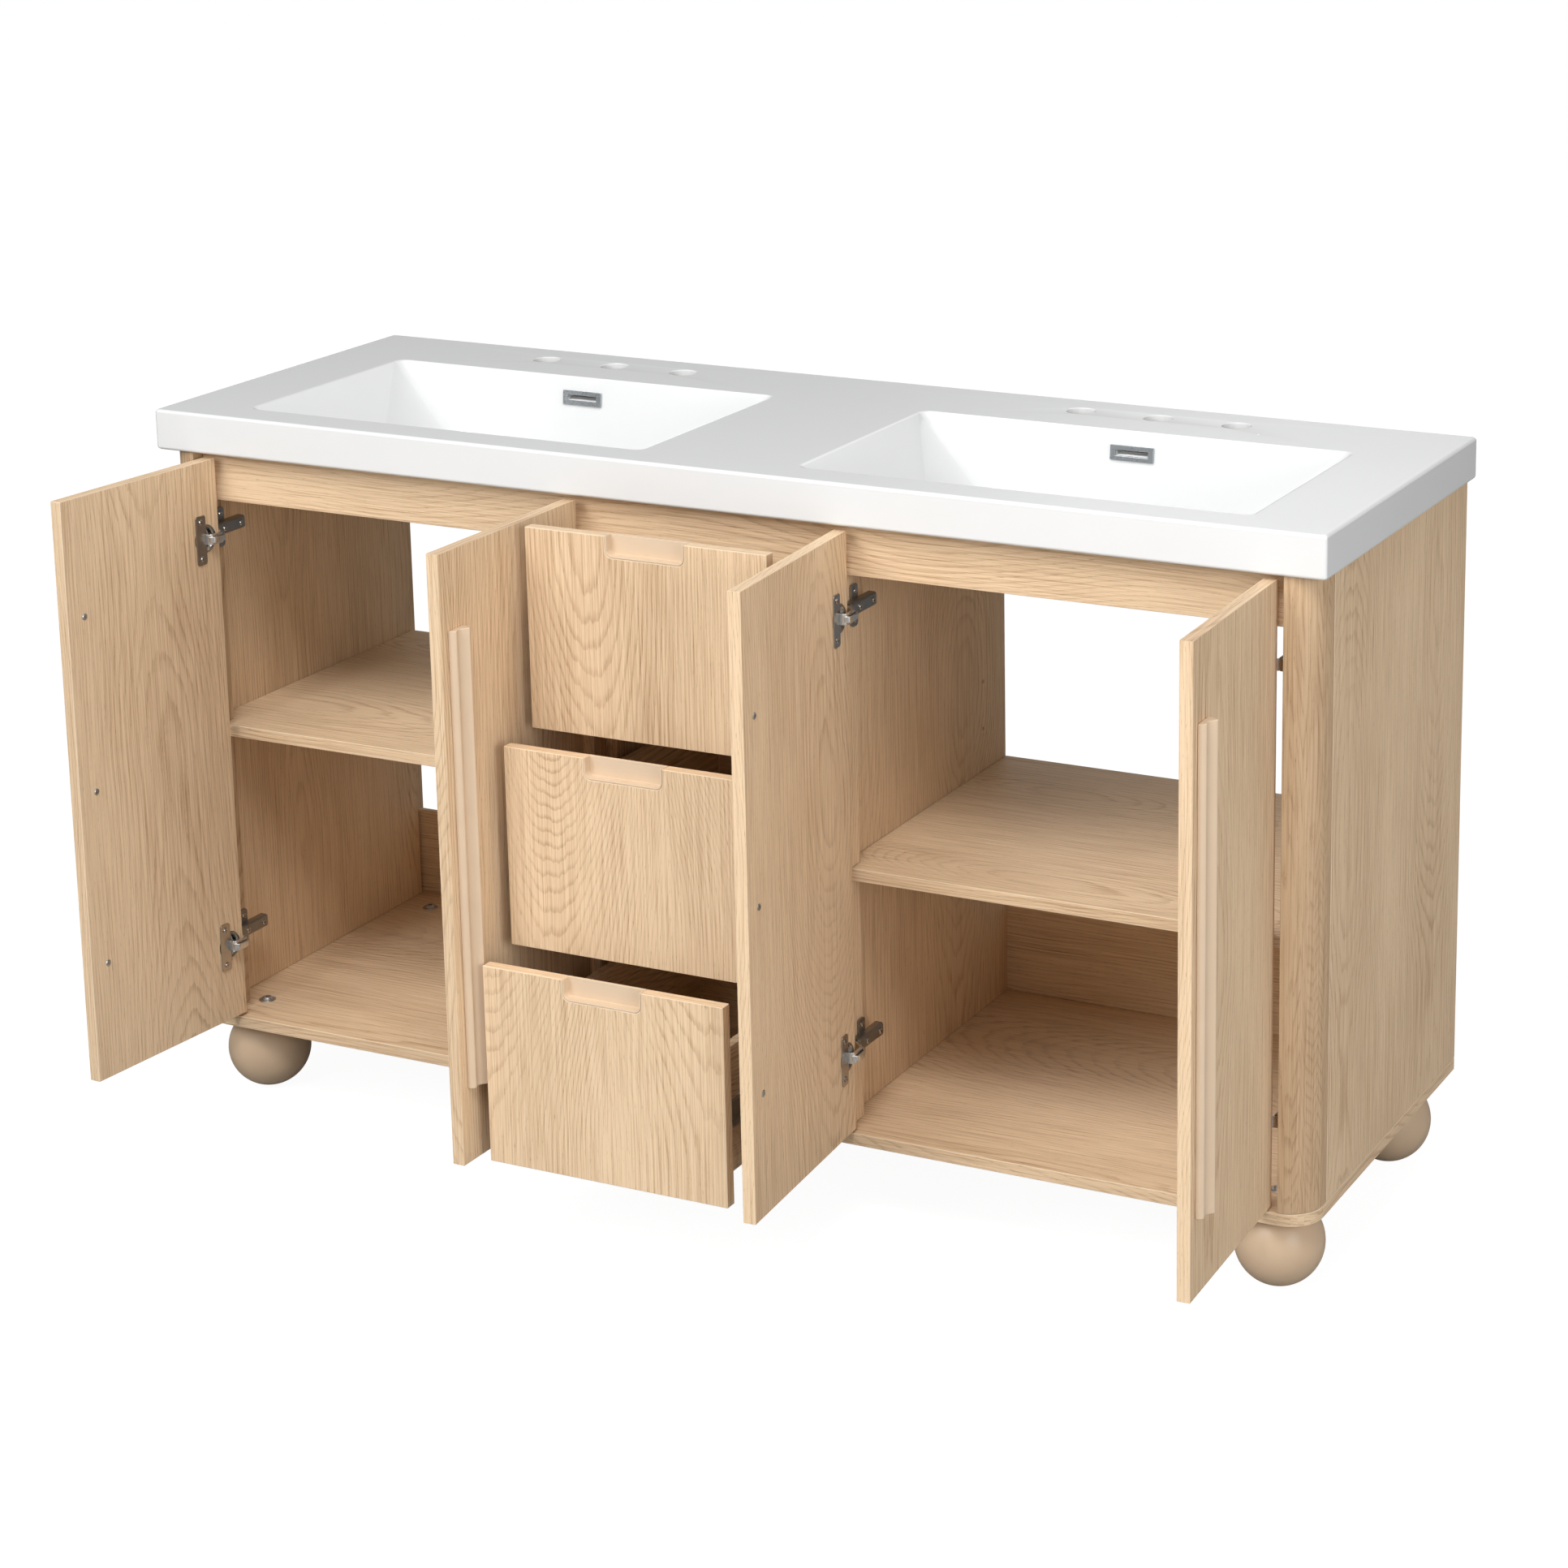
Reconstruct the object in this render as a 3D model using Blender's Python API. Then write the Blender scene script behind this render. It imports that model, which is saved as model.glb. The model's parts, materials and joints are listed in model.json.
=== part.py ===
"""A freestanding double-basin bathroom vanity, shown with its doors open and its drawers pulled out.

A cast-resin top with two integral basins sits on a laminated-board carcass on four ball feet.
Each side bay has a shelf and a pair of doors on cup hinges, and three drawers on channel slides fill
the centre bay. Each piece is one object. Doors and drawers hang from empties on their joints.

+X is the cabinet's right, seen from the front, +Y runs back to the wall and +Z is up. All pieces are
drawn from the front edge of the top at y = 0, and the `vanity` empty then centres the object, as it
stands here with its doors and drawers open, over the world's origin.
"""

import math

import bmesh
import bpy
from mathutils import Matrix, Vector

MM = 0.001
TOUCH = 0.3 * MM  # left between two pieces that touch

# Cast top
TOP_WIDTH = 1524 * MM
TOP_DEPTH = 505 * MM
TOP_THICKNESS = 50 * MM
TOP_EDGE_RADIUS = 4 * MM
OVERALL_HEIGHT = 892 * MM
OVERHANG_SIDE = 10 * MM
OVERHANG_FRONT = 5 * MM
OVERHANG_BACK = 2 * MM

# Basins, and the faucet holes behind them
BASIN_SIDE_MARGIN = 104 * MM
BASIN_SPACING = 205 * MM
BASIN_FRONT_MARGIN = 50 * MM
BASIN_BACK_MARGIN = 134 * MM
BASIN_DEPTH = 105 * MM
BASIN_SHELL = 12 * MM
BASIN_WALL_RUN = 12 * MM
RAMP_RUN_FRONT = 155 * MM
RAMP_RUN_BACK = 105 * MM
RIM_CORNER_RADIUS = 14 * MM
FLOOR_CORNER_RADIUS = 30 * MM
DRAIN_DIAMETER = 45 * MM
FAUCET_HOLE_DIAMETER = 35 * MM
FAUCET_HOLE_PITCH = 101.6 * MM
FAUCET_BACK_MARGIN = 59 * MM
OVERFLOW_COVER_WIDTH = 56 * MM
OVERFLOW_COVER_HEIGHT = 18 * MM
OVERFLOW_COVER_THICKNESS = 3 * MM
OVERFLOW_SLOT_WIDTH = 42 * MM
OVERFLOW_SLOT_HEIGHT = 7 * MM
OVERFLOW_DROP = 27 * MM
OVERFLOW_PASSAGE = 26 * MM

# Carcass
SIDE_THICKNESS = 15 * MM
POST_WIDTH = 40 * MM
POST_DEPTH = 50 * MM
POST_RADIUS = 40 * MM
BASE_THICKNESS = 15 * MM
DIVIDER_THICKNESS = 15 * MM
DIVIDER_COVERED = 13.5 * MM
STILE_THICKNESS = 15 * MM
STILE_SETBACK = 8.5 * MM
RAIL_THICKNESS = 15 * MM
RAIL_HEIGHT = 62 * MM
RAIL_CLEARANCE = 1 * MM
BACK_PANEL_THICKNESS = 8 * MM
BACK_PANEL_HEIGHT = 119 * MM
BACK_PANEL_INSET = 14 * MM
BACK_RAIL_THICKNESS = 13 * MM
BOWL_CLEARANCE = 3 * MM
SHELF_THICKNESS = 15 * MM
SIDE_RABBET_DEPTH = 11 * MM
SIDE_RABBET_LENGTH = 28 * MM
SHELF_CLEARANCE = 0.6 * MM
SHELF_SETBACK = 6.5 * MM
SHELF_HEIGHT = 316 * MM
SHELF_PIN_PITCH = 61 * MM
LEFT_SHELF_PINS_UP = 1

# Ball feet
FOOT_DIAMETER = 104 * MM
FOOT_HEIGHT = 96 * MM
FOOT_FLAT_RADIUS = 10 * MM
FOOT_INSET_SIDE = 59 * MM
FOOT_INSET_FRONT = 60 * MM
FOOT_INSET_BACK = 73 * MM

# Doors
DOOR_THICKNESS = 15 * MM
DOOR_GAP = 2.5 * MM
MEETING_GAP = 3 * MM
FRONT_TOP_GAP = 7 * MM
FRONT_BOTTOM_GAP = 3.5 * MM
CENTRE_DOOR_EXTRA = 18 * MM
SIDE_PIVOT_INSET = 8.75 * MM
SIDE_PIVOT_DEPTH = 1.25 * MM
CENTRE_PIVOT_INSET = 0.5 * MM
CENTRE_PIVOT_DEPTH = 5.5 * MM
DOOR_OPEN_ANGLES = (95.5, 89, 86, 92)

# Door handles: a low bead, a finger cove and a taller ridge
HANDLE_LENGTH = 540 * MM
HANDLE_WIDTH = 28 * MM
HANDLE_RISE = 17 * MM
HANDLE_BEAD_RISE = 9.5 * MM
HANDLE_COVE_RISE = 6.5 * MM
HANDLE_EDGE_INSET = 13 * MM
# Shares of the width where the bead and the ridge stand, and how far each spreads
HANDLE_BEAD_PLACE, HANDLE_BEAD_SPREAD = 0.16, 0.13
HANDLE_RIDGE_PLACE, HANDLE_RIDGE_SPREAD = 0.82, 0.2
# How steeply the section rises at its two edges: a smaller power is steeper
HANDLE_EDGE_POWER = 0.2
HANDLE_SWELL_POWER = 0.15

# Cup hinges
HINGE_END_INSET = 97 * MM
CUP_DIAMETER = 35 * MM
CUP_DEPTH = 11 * MM
CUP_WALL = 2 * MM
CUP_EDGE_INSET = 23 * MM
CUP_PLATE_HEIGHT = 62 * MM
CUP_PLATE_WIDTH = 17 * MM
CUP_PLATE_THICKNESS = 1.6 * MM
ARM_LENGTH = 60 * MM
ARM_HEIGHT = 16 * MM
ARM_RISE = 12 * MM
ARM_DOOR_CLEARANCE = 4 * MM
ARM_PLATE_HEIGHT = 50 * MM
ARM_PLATE_WIDTH = 15 * MM
ARM_PLATE_THICKNESS = 3 * MM

# Drawers
DRAWER_FRONT_WIDTH = 311 * MM
DRAWER_FRONT_THICKNESS = 15 * MM
DRAWER_FRONT_GAP = 4.5 * MM
DRAWER_WALL = 12 * MM
DRAWER_BOTTOM = 6 * MM
DRAWER_BOX_LENGTH = 410 * MM
DRAWER_BOX_LIFT = 15 * MM
DRAWER_BOX_DROP = 72 * MM
DRAWER_PULLED_OUT = (124 * MM, 184 * MM, 244 * MM)
PULL_WIDTH = 102 * MM
PULL_DEPTH = 25 * MM
PULL_CORNER_RADIUS = 9 * MM
PULL_LINER = 2 * MM
PULL_BACK = 3.5 * MM

# Drawer slides
SLIDE_LENGTH = 400 * MM
SLIDE_HEIGHT = 45 * MM
SLIDE_SPACE = 12.7 * MM
SLIDE_CHANNEL_DEPTH = 9.5 * MM
SLIDE_CHANNEL_WALL = 1.5 * MM
SLIDE_LIP = 6 * MM

ARC_STEPS = 8
ROUND_STEPS = 32

# Levels
base_bottom = FOOT_HEIGHT + TOUCH
base_top = base_bottom + BASE_THICKNESS
carcass_bottom = base_top + TOUCH
top_underside = OVERALL_HEIGHT - TOP_THICKNESS
carcass_top = top_underside - TOUCH
front_bottom = base_top + FRONT_BOTTOM_GAP
front_top = top_underside - FRONT_TOP_GAP
rail_bottom = carcass_top - RAIL_HEIGHT
bowl_floor = OVERALL_HEIGHT - BASIN_DEPTH
bowl_underside = bowl_floor - BASIN_SHELL

# Depths, from the front edge of the top
front_plane = OVERHANG_FRONT
carcass_back = TOP_DEPTH - OVERHANG_BACK
post_back = front_plane + POST_DEPTH
side_door_swing = SIDE_PIVOT_DEPTH + math.hypot(SIDE_PIVOT_INSET, DOOR_THICKNESS - SIDE_PIVOT_DEPTH)
centre_door_swing = CENTRE_PIVOT_DEPTH + math.hypot(CENTRE_PIVOT_INSET, DOOR_THICKNESS - CENTRE_PIVOT_DEPTH)
rail_front = front_plane + max(side_door_swing, centre_door_swing, DRAWER_FRONT_THICKNESS) + RAIL_CLEARANCE
rail_back = rail_front + RAIL_THICKNESS
panel_back = carcass_back - BACK_PANEL_INSET
panel_front = panel_back - BACK_PANEL_THICKNESS
divider_front = rail_back + TOUCH
divider_back = panel_front - TOUCH
stile_front = front_plane + STILE_SETBACK
shelf_front = rail_front + SHELF_SETBACK
basin_front = BASIN_FRONT_MARGIN
basin_back = TOP_DEPTH - BASIN_BACK_MARGIN
faucet_line = TOP_DEPTH - FAUCET_BACK_MARGIN

# Widths, from the middle of the cabinet
side_outer = TOP_WIDTH / 2 - OVERHANG_SIDE
side_inner = side_outer - SIDE_THICKNESS
post_inner = side_outer - POST_WIDTH
divider_inner = DRAWER_FRONT_WIDTH / 2 - DIVIDER_COVERED
divider_outer = divider_inner + DIVIDER_THICKNESS
stile_inner = divider_outer + TOUCH
stile_outer = stile_inner + STILE_THICKNESS
basin_inner = BASIN_SPACING / 2
basin_outer = TOP_WIDTH / 2 - BASIN_SIDE_MARGIN
basin_centre = (basin_inner + basin_outer) / 2
basin_half_width = (basin_outer - basin_inner) / 2
side_door_edge = post_inner - DOOR_GAP
centre_door_edge = stile_outer + DOOR_GAP
door_pair_width = side_door_edge - centre_door_edge - MEETING_GAP
centre_door_width = (door_pair_width + CENTRE_DOOR_EXTRA) / 2
side_door_width = (door_pair_width - CENTRE_DOOR_EXTRA) / 2
door_height = front_top - front_bottom
drawer_count = len(DRAWER_PULLED_OUT)
drawer_front_height = (door_height - (drawer_count - 1) * DRAWER_FRONT_GAP) / drawer_count
drawer_box_half = divider_inner - SLIDE_SPACE


# Materials

def material(name, colour, roughness, metallic=0.0):
    made = bpy.data.materials.new(name)
    made.use_nodes = True
    shader = made.node_tree.nodes["Principled BSDF"]
    shader.inputs["Base Color"].default_value = (*colour, 1)
    shader.inputs["Roughness"].default_value = roughness
    shader.inputs["Metallic"].default_value = metallic
    return made


def make_materials():
    return {
        "resin": material("cast_resin", (0.87, 0.88, 0.87), 0.25),
        "oak": material("oak_laminate", (0.63, 0.45, 0.28), 0.55),
        "paint": material("beige_paint", (0.68, 0.51, 0.33), 0.4),
        "steel": material("nickel_plated_steel", (0.62, 0.61, 0.59), 0.3, 1.0),
        "zinc": material("zinc_plated_steel", (0.5, 0.51, 0.52), 0.35, 1.0),
        "chrome": material("brushed_chrome", (0.55, 0.57, 0.58), 0.3, 1.0),
    }


# Outlines, as lists of (x, y) that run anticlockwise

def rectangle(x0, x1, y0, y1):
    return [(x0, y0), (x1, y0), (x1, y1), (x0, y1)]


def arc(centre, radius, start, end, steps=ARC_STEPS):
    """Points along an arc, from one angle in degrees to another."""
    angles = [math.radians(start + (end - start) * i / steps) for i in range(steps + 1)]
    return [(centre[0] + radius * math.cos(a), centre[1] + radius * math.sin(a)) for a in angles]


def rounded_rectangle(x0, x1, y0, y1, radius):
    """The corners run front right, back right, back left, front left."""
    corners = ((x1, y0, -1, 1, -90), (x1, y1, -1, -1, 0), (x0, y1, 1, -1, 90), (x0, y0, 1, 1, 180))
    points = []
    for x, y, inward_x, inward_y, start in corners:
        points += arc((x + inward_x * radius, y + inward_y * radius), radius, start, start + 90)
    return points


def mirrored(outline):
    """The same outline on the other side of x = 0, still anticlockwise."""
    return [(-x, y) for x, y in reversed(outline)]


# Meshes

def mesh_from(bm, name):
    bmesh.ops.recalc_face_normals(bm, faces=bm.faces)
    mesh = bpy.data.meshes.new(name)
    bm.to_mesh(mesh)
    bm.free()
    return mesh


def extruded(name, outline, start, end, axis="Z"):
    """A closed prism over an outline, along Z, or along X or Y, where the outline is (y, z) or (x, z)."""
    place = {
        "X": lambda u, v, w: (w, u, v),
        "Y": lambda u, v, w: (u, w, v),
        "Z": lambda u, v, w: (u, v, w),
    }[axis]
    bm = bmesh.new()
    low = [bm.verts.new(place(u, v, start)) for u, v in outline]
    high = [bm.verts.new(place(u, v, end)) for u, v in outline]
    bm.faces.new(low)
    bm.faces.new(high)
    for i in range(len(outline)):
        j = (i + 1) % len(outline)
        bm.faces.new((low[i], low[j], high[j], high[i]))
    return mesh_from(bm, name)


def block(name, x0, x1, y0, y1, z0, z1):
    return extruded(name, rectangle(x0, x1, y0, y1), z0, z1)


def cylinder(name, centre, radius, start, end, axis="Z"):
    outline = arc(centre, radius, 0, 360, ROUND_STEPS)[:-1]
    return extruded(name, outline, start, end, axis)


def turned(name, profile, steps=ROUND_STEPS):
    """A solid of revolution about Z, from (radius, height) points that run up its outer side."""
    bm = bmesh.new()
    rings = []
    for radius, height in profile:
        ring = arc((0, 0), radius, 0, 360, steps)[:-1]
        rings.append([bm.verts.new((x, y, height)) for x, y in ring])
    for low, high in zip(rings, rings[1:]):
        for i in range(steps):
            j = (i + 1) % steps
            bm.faces.new((low[i], low[j], high[j], high[i]))
    bm.faces.new(rings[0])
    bm.faces.new(rings[-1])
    return mesh_from(bm, name)


def combined(base, tools, operation):
    """The base mesh with each tool mesh joined to it (UNION) or cut from it (DIFFERENCE)."""
    target = bpy.data.objects.new("boolean_base", base)
    bpy.context.collection.objects.link(target)
    helpers = []
    for tool in tools:
        helper = bpy.data.objects.new("boolean_tool", tool)
        bpy.context.collection.objects.link(helper)
        modifier = target.modifiers.new("boolean", "BOOLEAN")
        modifier.operation = operation
        modifier.solver = "EXACT"
        modifier.object = helper
        helpers.append(helper)
    evaluated = target.evaluated_get(bpy.context.evaluated_depsgraph_get())
    result = bpy.data.meshes.new_from_object(evaluated)
    result.name = base.name
    for helper in [target] + helpers:
        bpy.data.objects.remove(helper)
    return result


def bevelled(mesh, width, segments=1):
    bm = bmesh.new()
    bm.from_mesh(mesh)
    bmesh.ops.bevel(bm, geom=bm.edges[:], offset=width, segments=segments, profile=0.5, affect="EDGES")
    return mesh_from(bm, mesh.name)


def empty(name, parent, location=(0, 0, 0), turn=0.0):
    made = bpy.data.objects.new(name, None)
    bpy.context.collection.objects.link(made)
    made.parent = parent
    made.location = location
    made.rotation_euler.z = math.radians(turn)
    return made


def piece(name, mesh, surface, parent, location=(0, 0, 0), round_piece=False):
    made = bpy.data.objects.new(name, mesh)
    bpy.context.collection.objects.link(made)
    made.parent = parent
    made.location = location
    mesh.materials.clear()
    mesh.materials.append(surface)
    if round_piece:
        mesh.shade_smooth()
        mesh.set_sharp_from_angle(angle=math.radians(35))
    return made


# Cast top and basins

def floor_outline(grow):
    """The basin's floor: its side edges slant, because the ramps run further in at the front."""
    front = basin_front + BASIN_WALL_RUN - grow
    back = basin_back - BASIN_WALL_RUN + grow
    half_front = basin_half_width - RAMP_RUN_FRONT + grow
    half_back = basin_half_width - RAMP_RUN_BACK + grow
    radius = FLOOR_CORNER_RADIUS
    square = rounded_rectangle(-1, 1, front, back, radius)
    points = []
    for i, (x, y) in enumerate(square):
        side = 1 if i < len(square) / 2 else -1
        share = (y - front) / (back - front)
        corner = x - side
        points.append((side * (half_front + share * (half_back - half_front)) + corner, y))
    return points


def basin(name, centre, grow, rim_level, floor_level, rise=0.0):
    """A basin's inside (grow 0), or the outside of its shell. A rise carries the rim on upwards."""
    rim = rounded_rectangle(-basin_half_width - grow, basin_half_width + grow,
                            basin_front - grow, basin_back + grow, RIM_CORNER_RADIUS + grow)
    bm = bmesh.new()
    high = [bm.verts.new((centre + x, y, rim_level)) for x, y in rim]
    low = [bm.verts.new((centre + x, y, floor_level)) for x, y in floor_outline(grow)]
    count = len(rim)
    for i in range(count):
        j = (i + 1) % count
        if i < count // 4:
            # The right ramp folds along a line from the rim's back corner to the floor's front corner.
            bm.faces.new((low[i], low[j], high[j]))
            bm.faces.new((low[i], high[j], high[i]))
        else:
            bm.faces.new((low[i], low[j], high[i]))
            bm.faces.new((low[j], high[j], high[i]))
    bm.faces.new(low)
    if rise:
        crown = [bm.verts.new(v.co + Vector((0, 0, rise))) for v in high]
        for i in range(count):
            j = (i + 1) % count
            bm.faces.new((high[i], high[j], crown[j], crown[i]))
        bm.faces.new(crown)
    else:
        bm.faces.new(high)
    return mesh_from(bm, name)


def basin_wall_depth(level):
    """How far the basin's back wall leans in at a level."""
    return BASIN_WALL_RUN * (OVERALL_HEIGHT - level) / BASIN_DEPTH


def overflow_level():
    return OVERALL_HEIGHT - OVERFLOW_DROP


def make_top(root, surfaces):
    slab = bevelled(block("vanity_top", -TOP_WIDTH / 2, TOP_WIDTH / 2, 0, TOP_DEPTH,
                          top_underside, OVERALL_HEIGHT), TOP_EDGE_RADIUS, 2)
    through = TOP_THICKNESS
    inside_slab = OVERALL_HEIGHT - TOP_EDGE_RADIUS
    shells = []
    cuts = []
    for side in (-1, 1):
        centre = side * basin_centre
        shells.append(basin("shell", centre, BASIN_SHELL, inside_slab, bowl_underside))
        cuts.append(basin("bowl", centre, 0, OVERALL_HEIGHT, bowl_floor, rise=through))
        drain = (centre, (basin_front + basin_back) / 2)
        cuts.append(cylinder("drain", drain, DRAIN_DIAMETER / 2, bowl_underside - through,
                             bowl_floor + BASIN_SHELL))
        for step in (-1, 0, 1):
            hole = (centre + step * FAUCET_HOLE_PITCH, faucet_line)
            cuts.append(cylinder("faucet_hole", hole, FAUCET_HOLE_DIAMETER / 2,
                                 top_underside - through, OVERALL_HEIGHT + through))
        cuts += overflow_passage(centre)
    mesh = combined(combined(slab, shells, "UNION"), cuts, "DIFFERENCE")
    piece("vanity_top", mesh, surfaces["resin"], root, round_piece=True)


def overflow_passage(centre):
    """A slot in the back wall, then a way down behind the bowl to the underside of the slab."""
    half = OVERFLOW_SLOT_WIDTH / 2
    level = overflow_level()
    wall = basin_back - basin_wall_depth(level)
    passage_back = basin_back + OVERFLOW_PASSAGE
    passage_front = passage_back - OVERFLOW_SLOT_HEIGHT
    top = level + OVERFLOW_SLOT_HEIGHT / 2
    slot = block("overflow_slot", centre - half, centre + half, wall - BASIN_WALL_RUN, passage_back,
                 level - OVERFLOW_SLOT_HEIGHT / 2, top)
    drop = block("overflow_drop", centre - half + TOUCH, centre + half - TOUCH, passage_front,
                 passage_back - TOUCH, top_underside - TOP_THICKNESS, top - TOUCH)
    return [slot, drop]


def make_overflow_covers(root, surfaces):
    """A thin frame on the leaning back wall of each basin."""
    lean = math.atan2(BASIN_WALL_RUN, BASIN_DEPTH)
    half_width = OVERFLOW_COVER_WIDTH / 2
    half_height = OVERFLOW_COVER_HEIGHT / 2
    level = overflow_level()
    wall = basin_back - basin_wall_depth(level)
    for word, side in (("left", -1), ("right", 1)):
        frame = block("overflow_cover", -half_width, half_width, -OVERFLOW_COVER_THICKNESS, 0,
                      -half_height, half_height)
        slot = block("cover_slot", -OVERFLOW_SLOT_WIDTH / 2, OVERFLOW_SLOT_WIDTH / 2,
                     -2 * OVERFLOW_COVER_THICKNESS, OVERFLOW_COVER_THICKNESS,
                     -OVERFLOW_SLOT_HEIGHT / 2, OVERFLOW_SLOT_HEIGHT / 2)
        mesh = combined(frame, [slot], "DIFFERENCE")
        cover = piece(f"overflow_cover_{word}", mesh, surfaces["chrome"], root,
                      (side * basin_centre, wall - TOUCH, level))
        cover.rotation_euler.x = -lean


# Carcass

def post_outline():
    """The quarter-round front post of the right side, seen from above."""
    centre = (side_outer - POST_RADIUS, front_plane + POST_RADIUS)
    front = [(post_inner, front_plane)] if POST_WIDTH > POST_RADIUS else []
    round_corner = arc(centre, POST_RADIUS, -90, 0)
    return front + round_corner + [(side_outer, post_back), (post_inner, post_back)]


def base_outline():
    """The base board: its front corners are as round as the posts."""
    centre = (side_outer - POST_RADIUS, front_plane + POST_RADIUS)
    right = arc(centre, POST_RADIUS, -90, 0) + [(side_outer, carcass_back)]
    return right + mirrored(right)


def divider_outline():
    """The divider seen from the side, as (y, z): its top steps down under the bowls."""
    under_bowl = bowl_underside - BOWL_CLEARANCE
    behind_bowl = basin_back + BASIN_SHELL + BOWL_CLEARANCE
    return [(divider_front, carcass_bottom), (divider_back, carcass_bottom), (divider_back, carcass_top),
            (behind_bowl, carcass_top), (behind_bowl, under_bowl), (divider_front, under_bowl)]


def side_panel_outline():
    """The right side panel seen from above, with the rabbet that takes the back panel and back rail."""
    rabbet_face, rabbet_start = side_inner + SIDE_RABBET_DEPTH, carcass_back - SIDE_RABBET_LENGTH
    front = post_back + TOUCH
    return [(side_inner, front), (side_outer, front), (side_outer, carcass_back),
            (rabbet_face, carcass_back), (rabbet_face, rabbet_start), (side_inner, rabbet_start)]


def shelf_outline():
    """The right shelf seen from above: its front corners are notched round the stile and the post."""
    front_left, front_right = stile_outer + SHELF_CLEARANCE, post_inner - SHELF_CLEARANCE
    back_left, back_right = divider_outer + SHELF_CLEARANCE, side_inner - SHELF_CLEARANCE
    notch = post_back + TOUCH
    return [(front_left, shelf_front), (front_right, shelf_front), (front_right, notch),
            (back_right, notch), (back_right, divider_back), (back_left, divider_back),
            (back_left, notch), (front_left, notch)]


def make_carcass(root, surfaces):
    oak = surfaces["oak"]
    piece("base_board", extruded("base_board", base_outline(), base_bottom, base_top), oak, root)
    for word, side in (("left", -1), ("right", 1)):
        post = post_outline() if side > 0 else mirrored(post_outline())
        piece(f"corner_post_{word}", extruded("corner_post", post, carcass_bottom, carcass_top),
              oak, root, round_piece=True)
        panel = side_panel_outline() if side > 0 else mirrored(side_panel_outline())
        piece(f"side_panel_{word}", extruded("side_panel", panel, carcass_bottom, carcass_top), oak, root)
        x0, x1 = sorted((side * divider_inner, side * divider_outer))
        piece(f"divider_{word}", extruded("divider", divider_outline(), x0, x1, "X"), oak, root)
        x0, x1 = sorted((side * stile_inner, side * stile_outer))
        piece(f"divider_stile_{word}", block("divider_stile", x0, x1, stile_front, post_back,
                                             carcass_bottom, rail_bottom - TOUCH), oak, root)
        pins_up = LEFT_SHELF_PINS_UP if side < 0 else 0
        shelf_top = base_top + SHELF_HEIGHT + pins_up * SHELF_PIN_PITCH
        shelf = shelf_outline() if side > 0 else mirrored(shelf_outline())
        piece(f"shelf_{word}", extruded("shelf", shelf, shelf_top - SHELF_THICKNESS, shelf_top), oak, root)
    rail_end = post_inner - TOUCH
    piece("front_rail", block("front_rail", -rail_end, rail_end, rail_front, rail_back,
                              rail_bottom, carcass_top), oak, root)
    panel_end = side_inner + SIDE_RABBET_DEPTH - TOUCH
    piece("back_rail", block("back_rail", -panel_end, panel_end, panel_front,
                             panel_front + BACK_RAIL_THICKNESS, rail_bottom, carcass_top), oak, root)
    piece("back_panel", block("back_panel", -panel_end, panel_end, panel_front, panel_back,
                              carcass_bottom, carcass_bottom + BACK_PANEL_HEIGHT), oak, root)


def make_feet(root, surfaces):
    """Balls with a small flat to stand on and a wider one under the base board."""
    radius = FOOT_DIAMETER / 2
    centre = math.sqrt(radius ** 2 - FOOT_FLAT_RADIUS ** 2)
    start = math.degrees(math.asin(-centre / radius))
    end = math.degrees(math.asin((FOOT_HEIGHT - centre) / radius))
    profile = arc((0, centre), radius, start, end, 2 * ARC_STEPS)
    places = {
        "front": front_plane + FOOT_INSET_FRONT,
        "back": carcass_back - FOOT_INSET_BACK,
    }
    for row, y in places.items():
        for word, side in (("left", -1), ("right", 1)):
            x = side * (side_outer - FOOT_INSET_SIDE)
            piece(f"ball_foot_{row}_{word}", turned("ball_foot", profile), surfaces["paint"], root,
                  (x, y, 0), round_piece=True)


# Doors, handles and hinges. A door is drawn closed, from its pivot at the origin, and reaches
# along `reach` (+1 or -1) in X. Its outer face looks along -Y.

class Door:
    def __init__(self, number, side, at_side, open_angle):
        self.number = number
        self.side = side
        self.at_side = at_side
        self.reach = -side if at_side else side
        self.width = side_door_width if at_side else centre_door_width
        self.inset = SIDE_PIVOT_INSET if at_side else CENTRE_PIVOT_INSET
        self.depth = SIDE_PIVOT_DEPTH if at_side else CENTRE_PIVOT_DEPTH
        edge = side_door_edge if at_side else centre_door_edge
        self.pivot = Vector((side * edge + self.reach * self.inset, front_plane + self.depth, 0))
        self.turn = -self.reach * open_angle

    def across(self, start, end):
        """Two distances from the hinged edge, as a sorted pair of x values."""
        return sorted((self.reach * (start - self.inset), self.reach * (end - self.inset)))

    def corners(self):
        """Where the free edge's two corners are when the door stands open."""
        turn = Matrix.Rotation(math.radians(self.turn), 3, "Z")
        x = self.reach * (self.width - self.inset)
        return [self.pivot + turn @ Vector((x, y, 0)) for y in (-self.depth, DOOR_THICKNESS - self.depth)]


def make_doors():
    angles = iter(DOOR_OPEN_ANGLES)
    plan = ((1, -1, True), (2, -1, False), (3, 1, False), (4, 1, True))
    return [Door(number, side, at_side, next(angles)) for number, side, at_side in plan]


def hinge_levels():
    return {"lower": front_bottom + HINGE_END_INSET, "upper": front_top - HINGE_END_INSET}


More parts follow.
